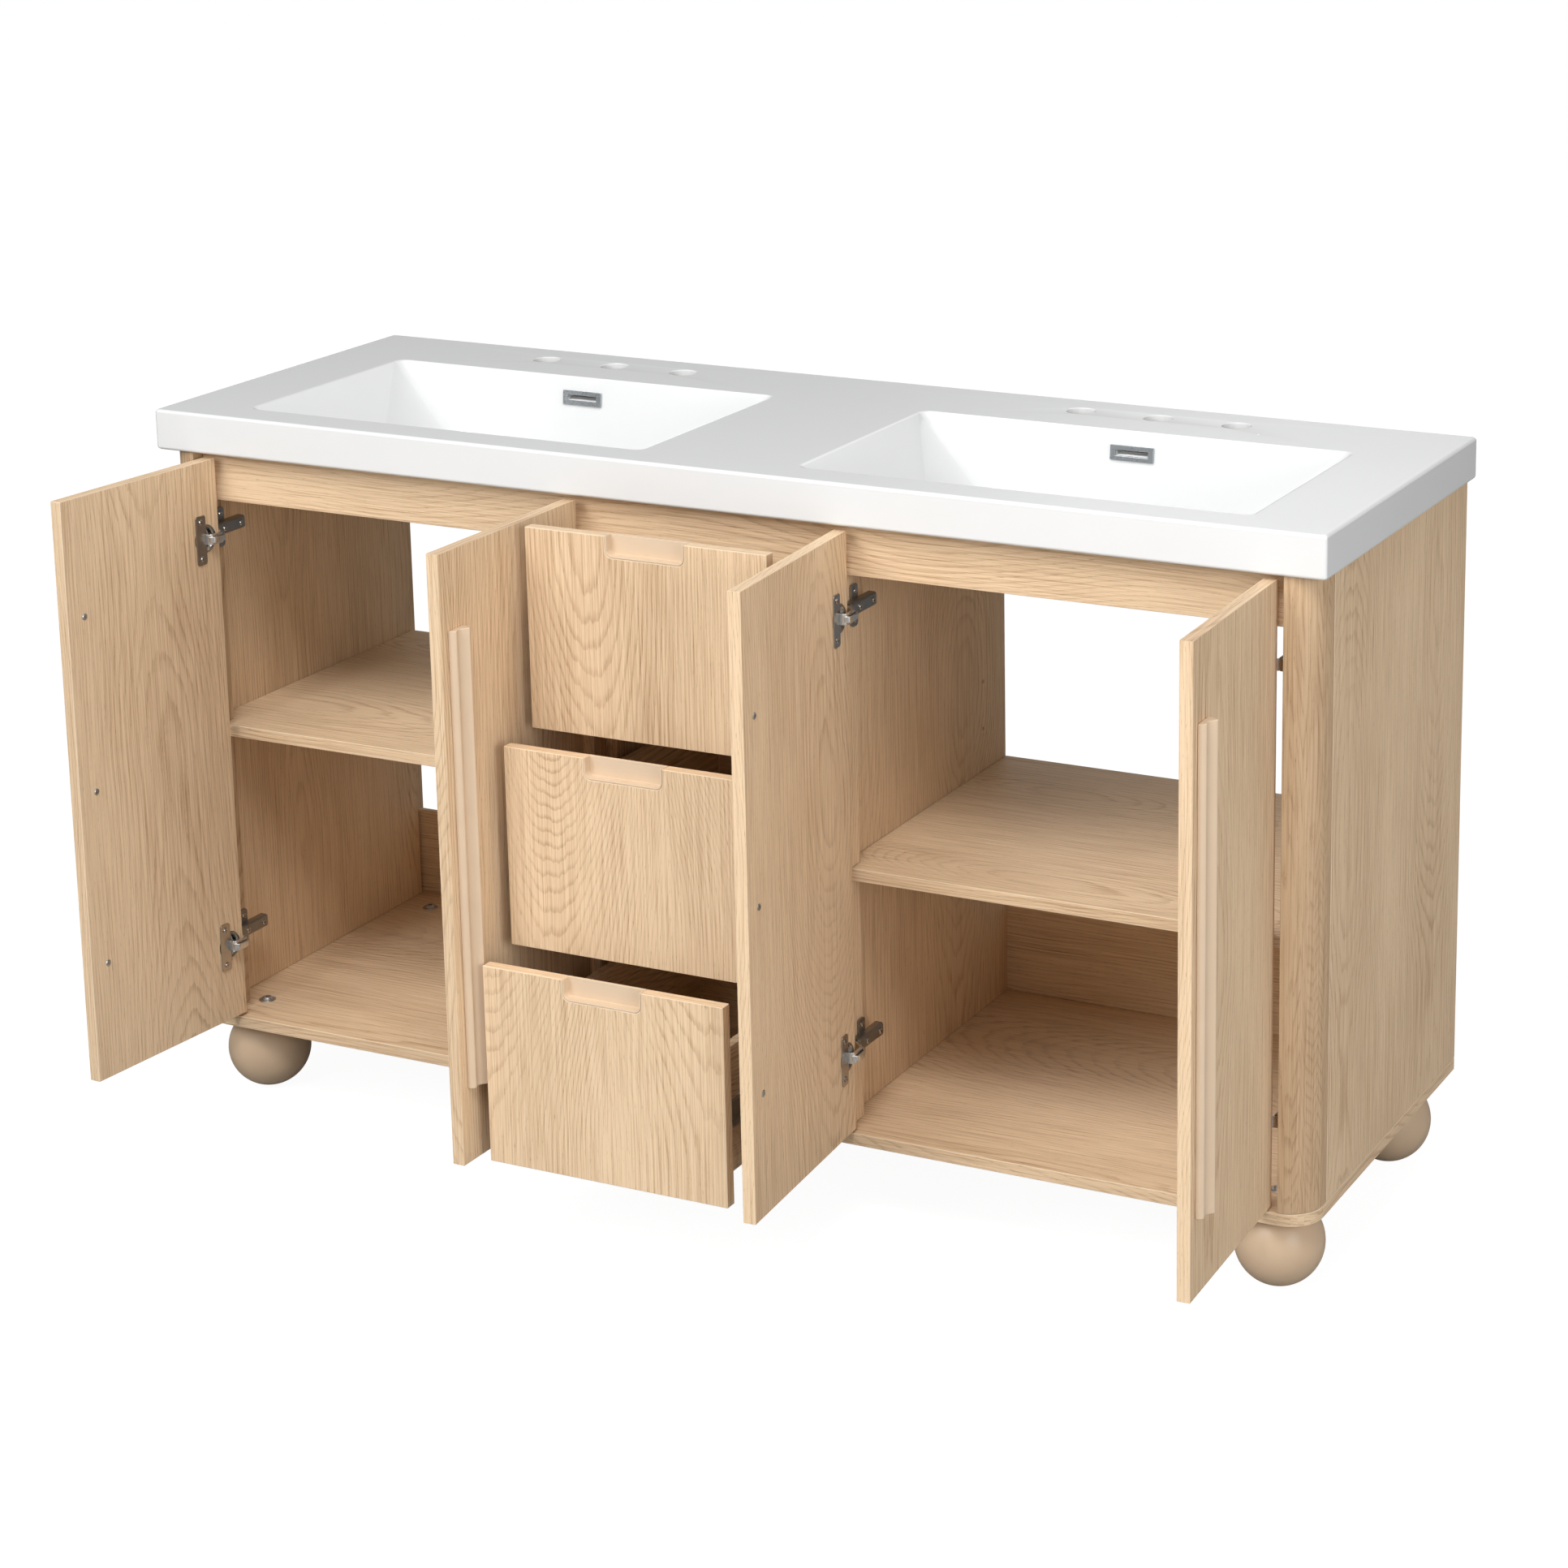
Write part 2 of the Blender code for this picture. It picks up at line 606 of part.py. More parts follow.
def make_door_leaf(door, hinge, surfaces):
    x0, x1 = door.across(0, door.width)
    leaf = block("door", x0, x1, -door.depth, DOOR_THICKNESS - door.depth, front_bottom, front_top)
    pockets = []
    inner_face = DOOR_THICKNESS - door.depth
    cup_x = door.reach * (CUP_EDGE_INSET - door.inset)
    for level in hinge_levels().values():
        pockets.append(cylinder("cup_pocket", (cup_x, level), CUP_DIAMETER / 2 + TOUCH,
                                inner_face - CUP_DEPTH - TOUCH, inner_face + DOOR_THICKNESS, "Y"))
    piece(f"door_{door.number}", combined(leaf, pockets, "DIFFERENCE"), surfaces["oak"], hinge)


def handle_profile():
    """The handle's section as (distance across, rise), with a bead, a cove and a ridge."""
    def rise(share):
        bead = math.exp(-((share - HANDLE_BEAD_PLACE) / HANDLE_BEAD_SPREAD) ** 2)
        ridge = math.exp(-((share - HANDLE_RIDGE_PLACE) / HANDLE_RIDGE_SPREAD) ** 2)
        arch = math.sin(math.pi * share)
        swell = max((HANDLE_BEAD_RISE - HANDLE_COVE_RISE) * bead, (HANDLE_RISE - HANDLE_COVE_RISE) * ridge)
        return HANDLE_COVE_RISE * arch ** HANDLE_EDGE_POWER + swell * arch ** HANDLE_SWELL_POWER

    steps = 3 * ARC_STEPS
    top = [(HANDLE_WIDTH * i / steps, rise(i / steps)) for i in range(1, steps)]
    return [(0, 0)] + top + [(HANDLE_WIDTH, 0)]


def make_handle(door, hinge, surfaces):
    face = -door.depth - TOUCH
    outline = []
    for across, rise in handle_profile():
        distance = door.width - HANDLE_EDGE_INSET - across
        outline.append((door.reach * (distance - door.inset), face - rise))
    middle = (front_bottom + front_top) / 2
    mesh = extruded("door_handle", outline, middle - HANDLE_LENGTH / 2, middle + HANDLE_LENGTH / 2)
    piece(f"door_handle_{door.number}", mesh, surfaces["paint"], hinge, round_piece=True)


def make_hinge_cup(door, hinge, word, level, surfaces):
    """The cup in the door, with the plate that screws to the door's inner face."""
    face = DOOR_THICKNESS - door.depth
    cup_x = door.reach * (CUP_EDGE_INSET - door.inset)
    outer = cylinder("hinge_cup", (cup_x, level), CUP_DIAMETER / 2, face - CUP_DEPTH,
                     face + CUP_PLATE_THICKNESS, "Y")
    x0, x1 = door.across(CUP_EDGE_INSET, CUP_EDGE_INSET + CUP_PLATE_WIDTH)
    half = CUP_PLATE_HEIGHT / 2
    plate = block("cup_plate", x0, x1, face + TOUCH, face + CUP_PLATE_THICKNESS, level - half, level + half)
    hollow = cylinder("cup_hollow", (cup_x, level), CUP_DIAMETER / 2 - CUP_WALL,
                      face - CUP_DEPTH + CUP_WALL, face + CUP_DEPTH, "Y")
    mesh = combined(combined(outer, [plate], "UNION"), [hollow], "DIFFERENCE")
    piece(f"hinge_cup_{door.number}_{word}", mesh, surfaces["steel"], hinge, round_piece=True)


def make_hinge_arm(door, root, word, level, surfaces):
    """The arm and its mounting plate, fixed to the corner post or to the divider's stile."""
    wall = (post_inner if door.at_side else stile_outer) * door.side
    away = door.reach
    plate_back = post_back - TOUCH
    plate_front = plate_back - ARM_PLATE_WIDTH
    arm_front = front_plane + DOOR_THICKNESS + ARM_DOOR_CLEARANCE
    x0, x1 = sorted((wall + away * TOUCH, wall + away * ARM_PLATE_THICKNESS))
    half = ARM_PLATE_HEIGHT / 2
    plate = block("arm_plate", x0, x1, plate_front, plate_back, level - half, level + half)
    x0, x1 = sorted((wall + away * ARM_PLATE_THICKNESS / 2, wall + away * ARM_RISE))
    half = ARM_HEIGHT / 2
    arm = block("arm", x0, x1, arm_front, arm_front + ARM_LENGTH, level - half, level + half)
    piece(f"hinge_arm_{door.number}_{word}", combined(plate, [arm], "UNION"), surfaces["steel"], root)


def make_door_assembly(door, root, surfaces):
    hinge = empty(f"door_{door.number}_hinge", root, door.pivot, door.turn)
    make_door_leaf(door, hinge, surfaces)
    make_handle(door, hinge, surfaces)
    for word, level in hinge_levels().items():
        make_hinge_cup(door, hinge, word, level, surfaces)
        make_hinge_arm(door, root, word, level, surfaces)


# Drawers and slides

def pull_outline(front_height, shrink):
    """The finger pull's cut-out in a drawer front, as (x, z) from the front's bottom edge."""
    half = PULL_WIDTH / 2 - shrink
    bottom = front_height - PULL_DEPTH + shrink
    radius = PULL_CORNER_RADIUS - shrink
    left = arc((-half + radius, bottom + radius), radius, 180, 270)
    right = arc((half - radius, bottom + radius), radius, 270, 360)
    return left + right


def make_drawer_front(name, slide, bottom, surfaces):
    half = DRAWER_FRONT_WIDTH / 2
    pull = pull_outline(drawer_front_height, 0)
    outline = [(-half, 0), (half, 0), (half, drawer_front_height)]
    outline += [(PULL_WIDTH / 2, drawer_front_height)] + pull[::-1]
    outline += [(-PULL_WIDTH / 2, drawer_front_height), (-half, drawer_front_height)]
    outline = [(x, bottom + z) for x, z in outline]
    mesh = extruded("drawer_front", outline, front_plane, front_plane + DRAWER_FRONT_THICKNESS, "Y")
    piece(f"{name}_front", mesh, surfaces["oak"], slide)


def make_pull_liner(name, slide, bottom, surfaces):
    """A scoop that lines the cut-out, open to the front and to the top."""
    back = front_plane + DRAWER_FRONT_THICKNESS
    above = DRAWER_FRONT_THICKNESS
    outer = pull_outline(drawer_front_height, TOUCH)
    rim = [(outer[-1][0], drawer_front_height), (outer[0][0], drawer_front_height)]
    inner = pull_outline(drawer_front_height, TOUCH + PULL_LINER)
    opening = [(inner[-1][0], drawer_front_height + above), (inner[0][0], drawer_front_height + above)]
    solid = extruded("pull_liner", [(x, bottom + z) for x, z in outer + rim], front_plane, back, "Y")
    hollow = extruded("pull_hollow", [(x, bottom + z) for x, z in inner + opening],
                      front_plane - above, back - PULL_BACK, "Y")
    piece(f"{name}_pull", combined(solid, [hollow], "DIFFERENCE"), surfaces["paint"], slide)


def make_drawer_box(name, slide, bottom, surfaces):
    front = front_plane + DRAWER_FRONT_THICKNESS + TOUCH
    back = front + DRAWER_BOX_LENGTH
    z0 = bottom + DRAWER_BOX_LIFT
    z1 = bottom + drawer_front_height - DRAWER_BOX_DROP
    half = drawer_box_half
    outer = block("drawer_box", -half, half, front, back, z0, z1)
    hollow = block("drawer_hollow", -half + DRAWER_WALL, half - DRAWER_WALL, front + DRAWER_WALL,
                   back - DRAWER_WALL, z0 + DRAWER_BOTTOM, z1 + DRAWER_WALL)
    piece(f"{name}_box", combined(outer, [hollow], "DIFFERENCE"), surfaces["oak"], slide)


def channel_outline(side, level):
    """The slide's C-shaped section as (x, z): its back is on the divider and its lips face the drawer."""
    back = divider_inner - TOUCH
    mouth = back - SLIDE_CHANNEL_DEPTH
    half = SLIDE_HEIGHT / 2
    wall = SLIDE_CHANNEL_WALL
    points = [(mouth, half - SLIDE_LIP), (mouth, half), (back, half), (back, -half), (mouth, -half),
              (mouth, -half + SLIDE_LIP), (mouth + wall, -half + SLIDE_LIP), (mouth + wall, -half + wall),
              (back - wall, -half + wall), (back - wall, half - wall), (mouth + wall, half - wall),
              (mouth + wall, half - SLIDE_LIP)]
    return [(side * x, level + z) for x, z in points]


def make_slides(name, root, bottom, surfaces):
    z0 = bottom + DRAWER_BOX_LIFT
    z1 = bottom + drawer_front_height - DRAWER_BOX_DROP
    for word, side in (("left", -1), ("right", 1)):
        outline = channel_outline(side, (z0 + z1) / 2)
        mesh = extruded("slide_channel", outline, divider_front, divider_front + SLIDE_LENGTH, "Y")
        piece(f"{name}_slide_{word}", mesh, surfaces["zinc"], root)


def make_drawers(root, surfaces):
    """The top drawer is number 1."""
    for i, pulled_out in enumerate(DRAWER_PULLED_OUT):
        name = f"drawer_{i + 1}"
        bottom = front_top - (i + 1) * drawer_front_height - i * DRAWER_FRONT_GAP
        slide = empty(f"{name}_slide", root, (0, -pulled_out, 0))
        make_drawer_front(name, slide, bottom, surfaces)
        make_pull_liner(name, slide, bottom, surfaces)
        make_drawer_box(name, slide, bottom, surfaces)
        make_slides(name, root, bottom, surfaces)


def main():
    for old in list(bpy.data.objects):
        bpy.data.objects.remove(old, do_unlink=True)
    surfaces = make_materials()
    doors = make_doors()
    foremost = min([corner.y for door in doors for corner in door.corners()]
                   + [front_plane - pulled_out for pulled_out in DRAWER_PULLED_OUT])
    root = empty("vanity", None, (0, -(foremost + TOP_DEPTH) / 2, 0))
    make_top(root, surfaces)
    make_overflow_covers(root, surfaces)
    make_carcass(root, surfaces)
    make_feet(root, surfaces)
    for door in doors:
        make_door_assembly(door, root, surfaces)
    make_drawers(root, surfaces)


if __name__ == "__main__":
    main()
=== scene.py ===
"""Finishes a double-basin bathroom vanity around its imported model: cast top, oak boards, hinges and runners.

The file is laid out as a Blender add-on. The sizes and colours that a maker would change are
properties, each group of pieces has its operator, and main() calls the operators in order.
"""

import json
import math
import random

import bmesh
import bpy
from mathutils import Matrix, Vector


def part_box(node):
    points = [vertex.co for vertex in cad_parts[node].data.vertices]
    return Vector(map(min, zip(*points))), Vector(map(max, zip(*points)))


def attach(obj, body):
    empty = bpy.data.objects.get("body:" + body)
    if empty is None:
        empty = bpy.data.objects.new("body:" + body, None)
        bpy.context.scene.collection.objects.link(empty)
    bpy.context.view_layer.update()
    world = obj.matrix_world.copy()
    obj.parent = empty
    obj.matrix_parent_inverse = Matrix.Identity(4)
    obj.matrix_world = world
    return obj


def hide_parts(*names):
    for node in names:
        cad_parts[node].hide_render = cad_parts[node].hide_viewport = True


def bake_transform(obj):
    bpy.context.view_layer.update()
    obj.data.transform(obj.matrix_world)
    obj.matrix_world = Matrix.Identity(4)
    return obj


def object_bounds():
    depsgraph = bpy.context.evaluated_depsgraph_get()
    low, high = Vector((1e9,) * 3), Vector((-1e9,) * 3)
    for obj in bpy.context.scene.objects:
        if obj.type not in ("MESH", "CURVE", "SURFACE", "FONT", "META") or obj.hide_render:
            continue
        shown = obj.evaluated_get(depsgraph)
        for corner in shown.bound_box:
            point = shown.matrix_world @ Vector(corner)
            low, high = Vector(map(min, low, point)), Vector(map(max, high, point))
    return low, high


bl_info = {
    "name": "Double Basin Vanity",
    "version": (1, 0, 0),
    "blender": (4, 5, 0),
    "location": "View3D > Sidebar > Vanity",
    "description": "Builds the finished pieces of a double-basin bathroom vanity around its packed model",
    "category": "Object",
}

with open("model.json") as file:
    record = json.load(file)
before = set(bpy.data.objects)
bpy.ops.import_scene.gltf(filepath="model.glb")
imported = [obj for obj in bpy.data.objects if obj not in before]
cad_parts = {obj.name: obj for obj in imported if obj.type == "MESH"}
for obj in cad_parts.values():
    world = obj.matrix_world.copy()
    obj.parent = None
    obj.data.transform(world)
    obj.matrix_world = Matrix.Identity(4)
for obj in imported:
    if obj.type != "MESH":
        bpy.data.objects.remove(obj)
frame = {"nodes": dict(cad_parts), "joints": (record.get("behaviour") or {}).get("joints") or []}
CAD_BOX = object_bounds()

MM = 0.001
UP = Vector((0, 0, 1))
CABINET = "cabinet"
SIDES = {"left": -1, "right": 1}
LEVELS = ("lower", "upper")
DOORS = (1, 2, 3, 4)
DRAWERS = (1, 2, 3)
FEET = [f"ball_foot_{row}_{word}" for row in ("front", "back") for word in SIDES]
MERGE = 0.01 * MM
FACE_WEIGHT = 100
GRAIN = "grain"
BANDING = "banding"

# Sizes of details that the panel doesn't offer
BASIN_STEPS = 8
FAN_STEPS = 10
HOLE_STEPS = 40
HOLE_LIP = 1.2 * MM
SLOT_REACH = 26 * MM
SLOT_DROP = 20 * MM
SLOT_STEP = 0.3 * MM
BAR_DEPTHS = (2 * MM, 4 * MM)
BAR_HALF = 0.9 * MM
PIN_HOLE_DEPTH = 9 * MM
PIN_LENGTH = 8 * MM
PIN_PLAY = 0.1 * MM
FOOT_FLAT = 10 * MM
FOOT_STEPS = 40
# Where a handle's bead and ridge are, and how wide, as shares of its width
HANDLE_BEAD = (0.16, 0.13)
HANDLE_RIDGE = (0.82, 0.2)
HANDLE_BEAD_RISE = 9.5 * MM
HANDLE_COVE_RISE = 6.5 * MM
HANDLE_STEPS = 60
SCREW_RECESS = 0.55
WASHER_LIFT = 0.05 * MM
WASHER_THICK = 1.2 * MM
RUNNER_HALF = 16 * MM
RUNNER_SKIN = 1.2 * MM
RUNNER_GAP = 0.2 * MM
RUNNER_DEPTH = 6 * MM
RUNNER_WAIST = 4 * MM
RUNNER_FRONT = 14 * MM
RUNNER_BACK = 4 * MM

# Where a Mix node's sockets for colours are
MIX_FACTOR, MIX_FIRST, MIX_SECOND, MIX_RESULT = 0, 6, 7, 2

finishes = {}


# Sizes and colours

def length(name, description, default):
    return bpy.props.FloatProperty(name=name, description=description, default=default, subtype="DISTANCE",
                                   unit="LENGTH", precision=4)


def colour(name, description, default):
    return bpy.props.FloatVectorProperty(name=name, description=description, default=default,
                                         subtype="COLOR", size=3, min=0, max=1)


def number(name, description, default):
    return bpy.props.FloatProperty(name=name, description=description, default=default)


class TopSizes(bpy.types.PropertyGroup):
    """The cast top and its basins."""
    thickness: length("Slab Thickness", "From the top surface to the underside", 50 * MM)
    edge: length("Edge Radius", "Rounding of the slab's outer edges", 4 * MM)
    side_margin: length("Side Margin", "From a basin's rim to the end of the slab", 104 * MM)
    spacing: length("Basin Spacing", "Between the rims of the two basins", 205 * MM)
    front_margin: length("Front Margin", "From the front edge to the rims", 50 * MM)
    back_margin: length("Back Margin", "From the back edge to the rims", 134 * MM)
    depth: length("Basin Depth", "From the top surface to the basin floor", 105 * MM)
    shell: length("Shell", "Thickness of the basin's shell", 12 * MM)
    wall_run: length("Wall Run", "How far the front and back walls lean in", 12 * MM)
    ramp_front: length("Ramp Run at Front", "How far a side ramp runs in at the front", 155 * MM)
    ramp_back: length("Ramp Run at Back", "How far a side ramp runs in at the back", 105 * MM)
    rim_radius: length("Rim Corner Radius", "Rounding of the rim's corners in plan", 14 * MM)
    floor_radius: length("Floor Corner Radius", "Rounding of the floor's corners in plan", 30 * MM)
    rim_round: length("Rim Rounding", "Rounding from the top surface into the basin", 3 * MM)
    floor_round: length("Floor Rounding", "Rounding from the walls into the floor", 16 * MM)
    drain: length("Drain Diameter", "Hole in each basin floor", 45 * MM)
    faucet_hole: length("Faucet Hole Diameter", "Holes behind each basin", 35 * MM)
    faucet_pitch: length("Faucet Hole Pitch", "Between the holes behind a basin", 101.6 * MM)
    faucet_back: length("Faucet Hole Margin", "From the back edge to the holes' centres", 59 * MM)
    slot_width: length("Overflow Slot Width", "Slot behind each overflow cover", 42 * MM)
    slot_height: length("Overflow Slot Height", "Slot behind each overflow cover", 7 * MM)
    white: colour("Resin", "The cast resin", (0.78, 0.785, 0.785))


class BoardSizes(bpy.types.PropertyGroup):
    """The laminated boards and the painted wood."""
    edge: length("Board Edge", "Rounding of the boards' edges", 0.9 * MM)
    ring: length("Ring Pitch", "Between the growth rings at a plank's side", 3.6 * MM)
    plank: length("Plank", "From the heart of the grain figure to its side", 150 * MM)
    pale: colour("Pale Oak", "Between the grain lines", (0.82, 0.615, 0.405))
    ruddy: colour("Ruddy Oak", "In the grain lines", (0.40, 0.23, 0.115))
    pore: colour("Pores", "The short dark pores", (0.27, 0.16, 0.09))
    band: colour("Edge Band Line", "The bare line where face and edge band meet", (0.80, 0.64, 0.46))
    # Painted shade: the corner posts get the oak darkened by these shares, standing in for the shade that
    # falls on them rather than a darker veneer
    post: colour("Post Shade", "How much of each colour the corner posts' veneer keeps", (0.74, 0.70, 0.66))
    feet: colour("Feet Paint", "The ball feet", (0.64, 0.47, 0.315))
    trim: colour("Trim Paint", "Handles and finger pulls", (0.71, 0.545, 0.385))
    pin_hole: length("Pin Hole Diameter", "Holes for the shelf pins", 5 * MM)
    pin_pitch: length("Pin Hole Pitch", "Between the heights a shelf can have", 61 * MM)
    pin_inset: length("Pin Hole Inset", "From a shelf's front or back edge to its pins", 63 * MM)


class HingeSizes(bpy.types.PropertyGroup):
    """Cup hinges, runners and screws."""
    plate_radius: length("Plate Corner", "Corner radius of the hinge plates", 4 * MM)
    screw: length("Screw Head", "Diameter of the hinge screws' heads", 7 * MM)
    handle_screw: length("Handle Screw Head", "Diameter of the handle screws' heads", 8 * MM)
    handle_screw_step: length("Handle Screw Step", "Between the three screws of a handle", 216 * MM)
    bolt: length("Foot Bolt Head", "Diameter of the foot bolts' heads", 14 * MM)
    washer: length("Foot Bolt Washer", "Diameter of the foot bolts' washers", 21 * MM)
    nickel: colour("Nickel", "Plating of the cups and wing plates", (0.50, 0.475, 0.445))
    bright: colour("Bright Nickel", "Plating of the links and screws", (0.78, 0.77, 0.75))
    dark: colour("Dark Nickel", "Plating of the arms", (0.33, 0.32, 0.305))
    zinc: colour("Zinc", "Plating of the runners", (0.55, 0.56, 0.57))
    chrome: colour("Chrome", "The overflow covers", (0.50, 0.53, 0.55))


class StageSizes(bpy.types.PropertyGroup):
    """The camera, the lights and the floor."""
    lens: number("Lens", "Focal length in millimetres on a 36 mm sensor", 82.56)
    place: bpy.props.FloatVectorProperty(name="Camera Place", description="Where the camera stands",
                                         default=(2.02784, -3.55776, 1.84415), subtype="XYZ", unit="LENGTH")
    heading: bpy.props.FloatProperty(name="Heading", description="Turn about the vertical",
                                     default=math.radians(24.59), subtype="ANGLE")
    dip: bpy.props.FloatProperty(name="Dip", description="How far the camera looks down",
                                 default=math.radians(13.29), subtype="ANGLE")
    roll: bpy.props.FloatProperty(name="Roll", description="Turn about the line of sight",
                                  default=math.radians(-0.21), subtype="ANGLE")
    shift: bpy.props.FloatVectorProperty(name="Shift", description="Offset of the picture on the sensor",
                                         default=(-0.17634, -0.21049), size=2)
    sky: number("Sky", "Strength of the light all round", 0.3)
    key: number("Key Light", "Watts of the large light at the front left", 252.0)
    fill: number("Fill Light", "Watts of the light at the right", 74.0)
    overhead: number("Overhead Light", "Watts of the light above the front", 108.0)
    back: number("Back Light", "Watts of the light behind", 9.0)
    floor: colour("Floor", "The pale floor, as the object is lit by it", (0.3, 0.3, 0.3))


def sizes(name):
    return getattr(bpy.context.scene, name)


# Node trees, written as expressions

class Socket:
    """A value in a node tree. Arithmetic on it adds Math nodes."""

    def __init__(self, graph, socket):
        self.graph = graph
        self.socket = socket

    def math(self, operation, *others):
        return self.graph.node("ShaderNodeMath", {"operation": operation}, [self, *others])

    def __add__(self, other):
        return self.math("ADD", other)

    def __sub__(self, other):
        return self.math("SUBTRACT", other)

    def __mul__(self, other):
        return self.math("MULTIPLY", other)

    def __pow__(self, other):
        return self.math("POWER", other)

    def __rsub__(self, other):
        return self.graph.node("ShaderNodeMath", {"operation": "SUBTRACT"}, [other, self])

    __radd__ = __add__
    __rmul__ = __mul__

    def fraction(self):
        return self.math("FRACT")

    def clamped(self):
        return self.graph.node("ShaderNodeClamp", {}, [self])

    def step(self, low, high):
        """0 below low and 1 above high, with a smooth rise between."""
        return self.graph.node("ShaderNodeMapRange", {"interpolation_type": "SMOOTHSTEP"}, [self, low, high])


class Graph:
    """A node tree whose nodes are added by one method."""

    def __init__(self, tree):
        self.tree = tree

    def node(self, kind, settings=None, inputs=(), output=0):
        made = self.tree.nodes.new(kind)
        for name, value in (settings or {}).items():
            setattr(made, name, value)
        pairs = inputs.items() if isinstance(inputs, dict) else enumerate(inputs)
        for key, value in pairs:
            self.feed(made.inputs[key], value)
        return Socket(self, made.outputs[output]) if made.outputs else made

    def geometry(self, kind, settings=None, **inputs):
        """A geometry node. An underscore in an input's name stands for a space."""
        named = {name.replace("_", " "): value for name, value in inputs.items()}
        return self.node(f"GeometryNode{kind}", settings, named)

    def vector(self, x, y, z=0.0):
        return self.node("ShaderNodeCombineXYZ", {}, [x, y, z])

    def feed(self, socket, value):
        if isinstance(value, Socket):
            self.tree.links.new(value.socket, socket)
        else:
            socket.default_value = value


class Finish(Graph):
    """A material on a Principled shader."""

    def __init__(self, name):
        self.material = bpy.data.materials.new(name)
        self.material.use_nodes = True
        super().__init__(self.material.node_tree)
        self.shader = self.tree.nodes["Principled BSDF"]

    def set(self, **values):
        for name, value in values.items():
            self.feed(self.shader.inputs[name.replace("_", " ")], value)

    def place(self):
        return self.node("ShaderNodeTexCoord", output="Object")

    def noise(self, at, scale=1.0, detail=2.0, roughness=0.5):
        inputs = {"Vector": at, "Scale": scale, "Detail": detail, "Roughness": roughness}
        return self.node("ShaderNodeTexNoise", {}, inputs)

    def mixed(self, share, first, second):
        inputs = {MIX_FACTOR: share, MIX_FIRST: first, MIX_SECOND: second}
        return self.node("ShaderNodeMix", {"data_type": "RGBA"}, inputs, MIX_RESULT)

    def bump(self, height, distance, strength=1.0):
        inputs = {"Height": height, "Distance": distance, "Strength": strength}
        return self.node("ShaderNodeBump", {}, inputs)


def rgb(value):
    return (*value, 1.0)


def make_resin(top):
    resin = Finish("cast_resin")
    cloud = resin.noise(resin.place(), 9.0, 3.0)
    swirl = resin.noise(resin.place(), 420.0, 2.0)
    tone = resin.mixed(cloud.step(0.3, 0.7), rgb(top.white), rgb([c * 0.985 for c in top.white]))
    resin.set(Base_Color=tone, Roughness=0.2 + cloud * 0.1, Coat_Weight=0.25, Coat_Roughness=0.12,
              IOR=1.49, Normal=resin.bump(swirl, 0.02 * MM, 0.25))
    return resin


def make_oak(name, board, shade):
    """Printed oak laminate. The grain runs along the first direction of the piece's own map.

    shade holds how much of each colour is left."""
    oak = Finish(name)
    pale, ruddy, pore, bare = [rgb([c * k for c, k in zip(tint, shade)])
                               for tint in (board.pale, board.ruddy, board.pore, board.band)]

    def field(x, y, seed, detail=2.0, roughness=0.5):
        return oak.noise(oak.vector(x, y, seed), 1.0, detail, roughness)

    along = oak.node("ShaderNodeSeparateXYZ", {}, [oak.node("ShaderNodeUVMap", {"uv_map": GRAIN})])
    across = Socket(oak, along.socket.node.outputs[1])
    sway = field(along * 1.6, across * 2.0, 0.0)
    heart = (across + sway * 0.05).math("PINGPONG", board.plank)
    sawn = field(along * 0.85, across * 0.8, 4.0, 1.5, 0.4) * 0.42 - 0.08
    waver = field(along * 6.0, across * 60.0, 3.0, 3.0, 0.6)
    radius = (heart * heart + sawn * sawn) ** 0.5
    ring = (radius * (1 / board.ring) + waver * 1.3).fraction()
    late = ring.step(0.5, 0.88) * (1 - ring.step(0.9, 1.0))
    strength = field(along * 2.2, across * 14.0, 8.0).step(0.3, 0.75)
    grain = across + sway * 0.012
    fine = field(along * 12.0, grain * 900.0, 1.0, 2.0, 0.65) - 0.5
    medium = field(along * 4.0, grain * 420.0, 5.0, 2.0, 0.6) - 0.5
    pores = field(along * 90.0, across * 1500.0, 7.0, 1.0).step(0.6, 0.72)
    cloud = field(along * 1.6, across * 6.0, 11.0) - 0.5
    lines = (late * (0.08 + strength * 0.32) + fine * 1.5 + medium * 1.3 + cloud * 0.8 + 0.16).clamped()
    body = oak.mixed(lines, pale, ruddy)
    pored = oak.mixed(pores * (0.12 + late * 0.45), body, pore)
    band = oak.node("ShaderNodeAttribute", {"attribute_name": BANDING}, output="Fac")
    tone = oak.mixed(band * 0.7, pored, bare)
    height = fine * 0.4 - pores * 0.8 - late * 0.2
    oak.set(Base_Color=tone, Roughness=0.52 + fine * 0.12 + pores * 0.1, Specular_IOR_Level=0.3,
            Normal=oak.bump(height, 0.05 * MM, 0.5))
    return oak


def make_paint(name, tint):
    paint = Finish(name)
    peel = paint.noise(paint.place(), 900.0, 2.0)
    cloud = paint.noise(paint.place(), 25.0, 2.0)
    tone = paint.mixed(cloud.step(0.3, 0.7) * 0.5, rgb(tint), rgb([c * 0.94 for c in tint]))
    paint.set(Base_Color=tone, Roughness=0.34 + cloud * 0.12, Normal=paint.bump(peel, 0.03 * MM, 0.3))
    return paint


def make_metal(name, tint, roughness, brushed):
    """Plated metal with fine brush lines along Z, and a little cloudiness in its gloss."""
    metal = Finish(name)
    stretch = metal.node("ShaderNodeMapping", {}, {"Vector": metal.place(), "Scale": (1.0, 1.0, 0.05)})
    brush = metal.noise(stretch, 2600.0, 2.0)
    cloud = metal.noise(metal.place(), 60.0, 2.0)
    tone = metal.mixed(cloud.step(0.25, 0.75) * 0.4, rgb(tint), rgb([c * 0.82 for c in tint]))
    metal.set(Base_Color=tone, Metallic=1.0, Roughness=roughness + cloud * 0.08 + brush * 0.08,
              Normal=metal.bump(brush, 0.01 * MM, brushed))
    return metal


# Meshes and pieces

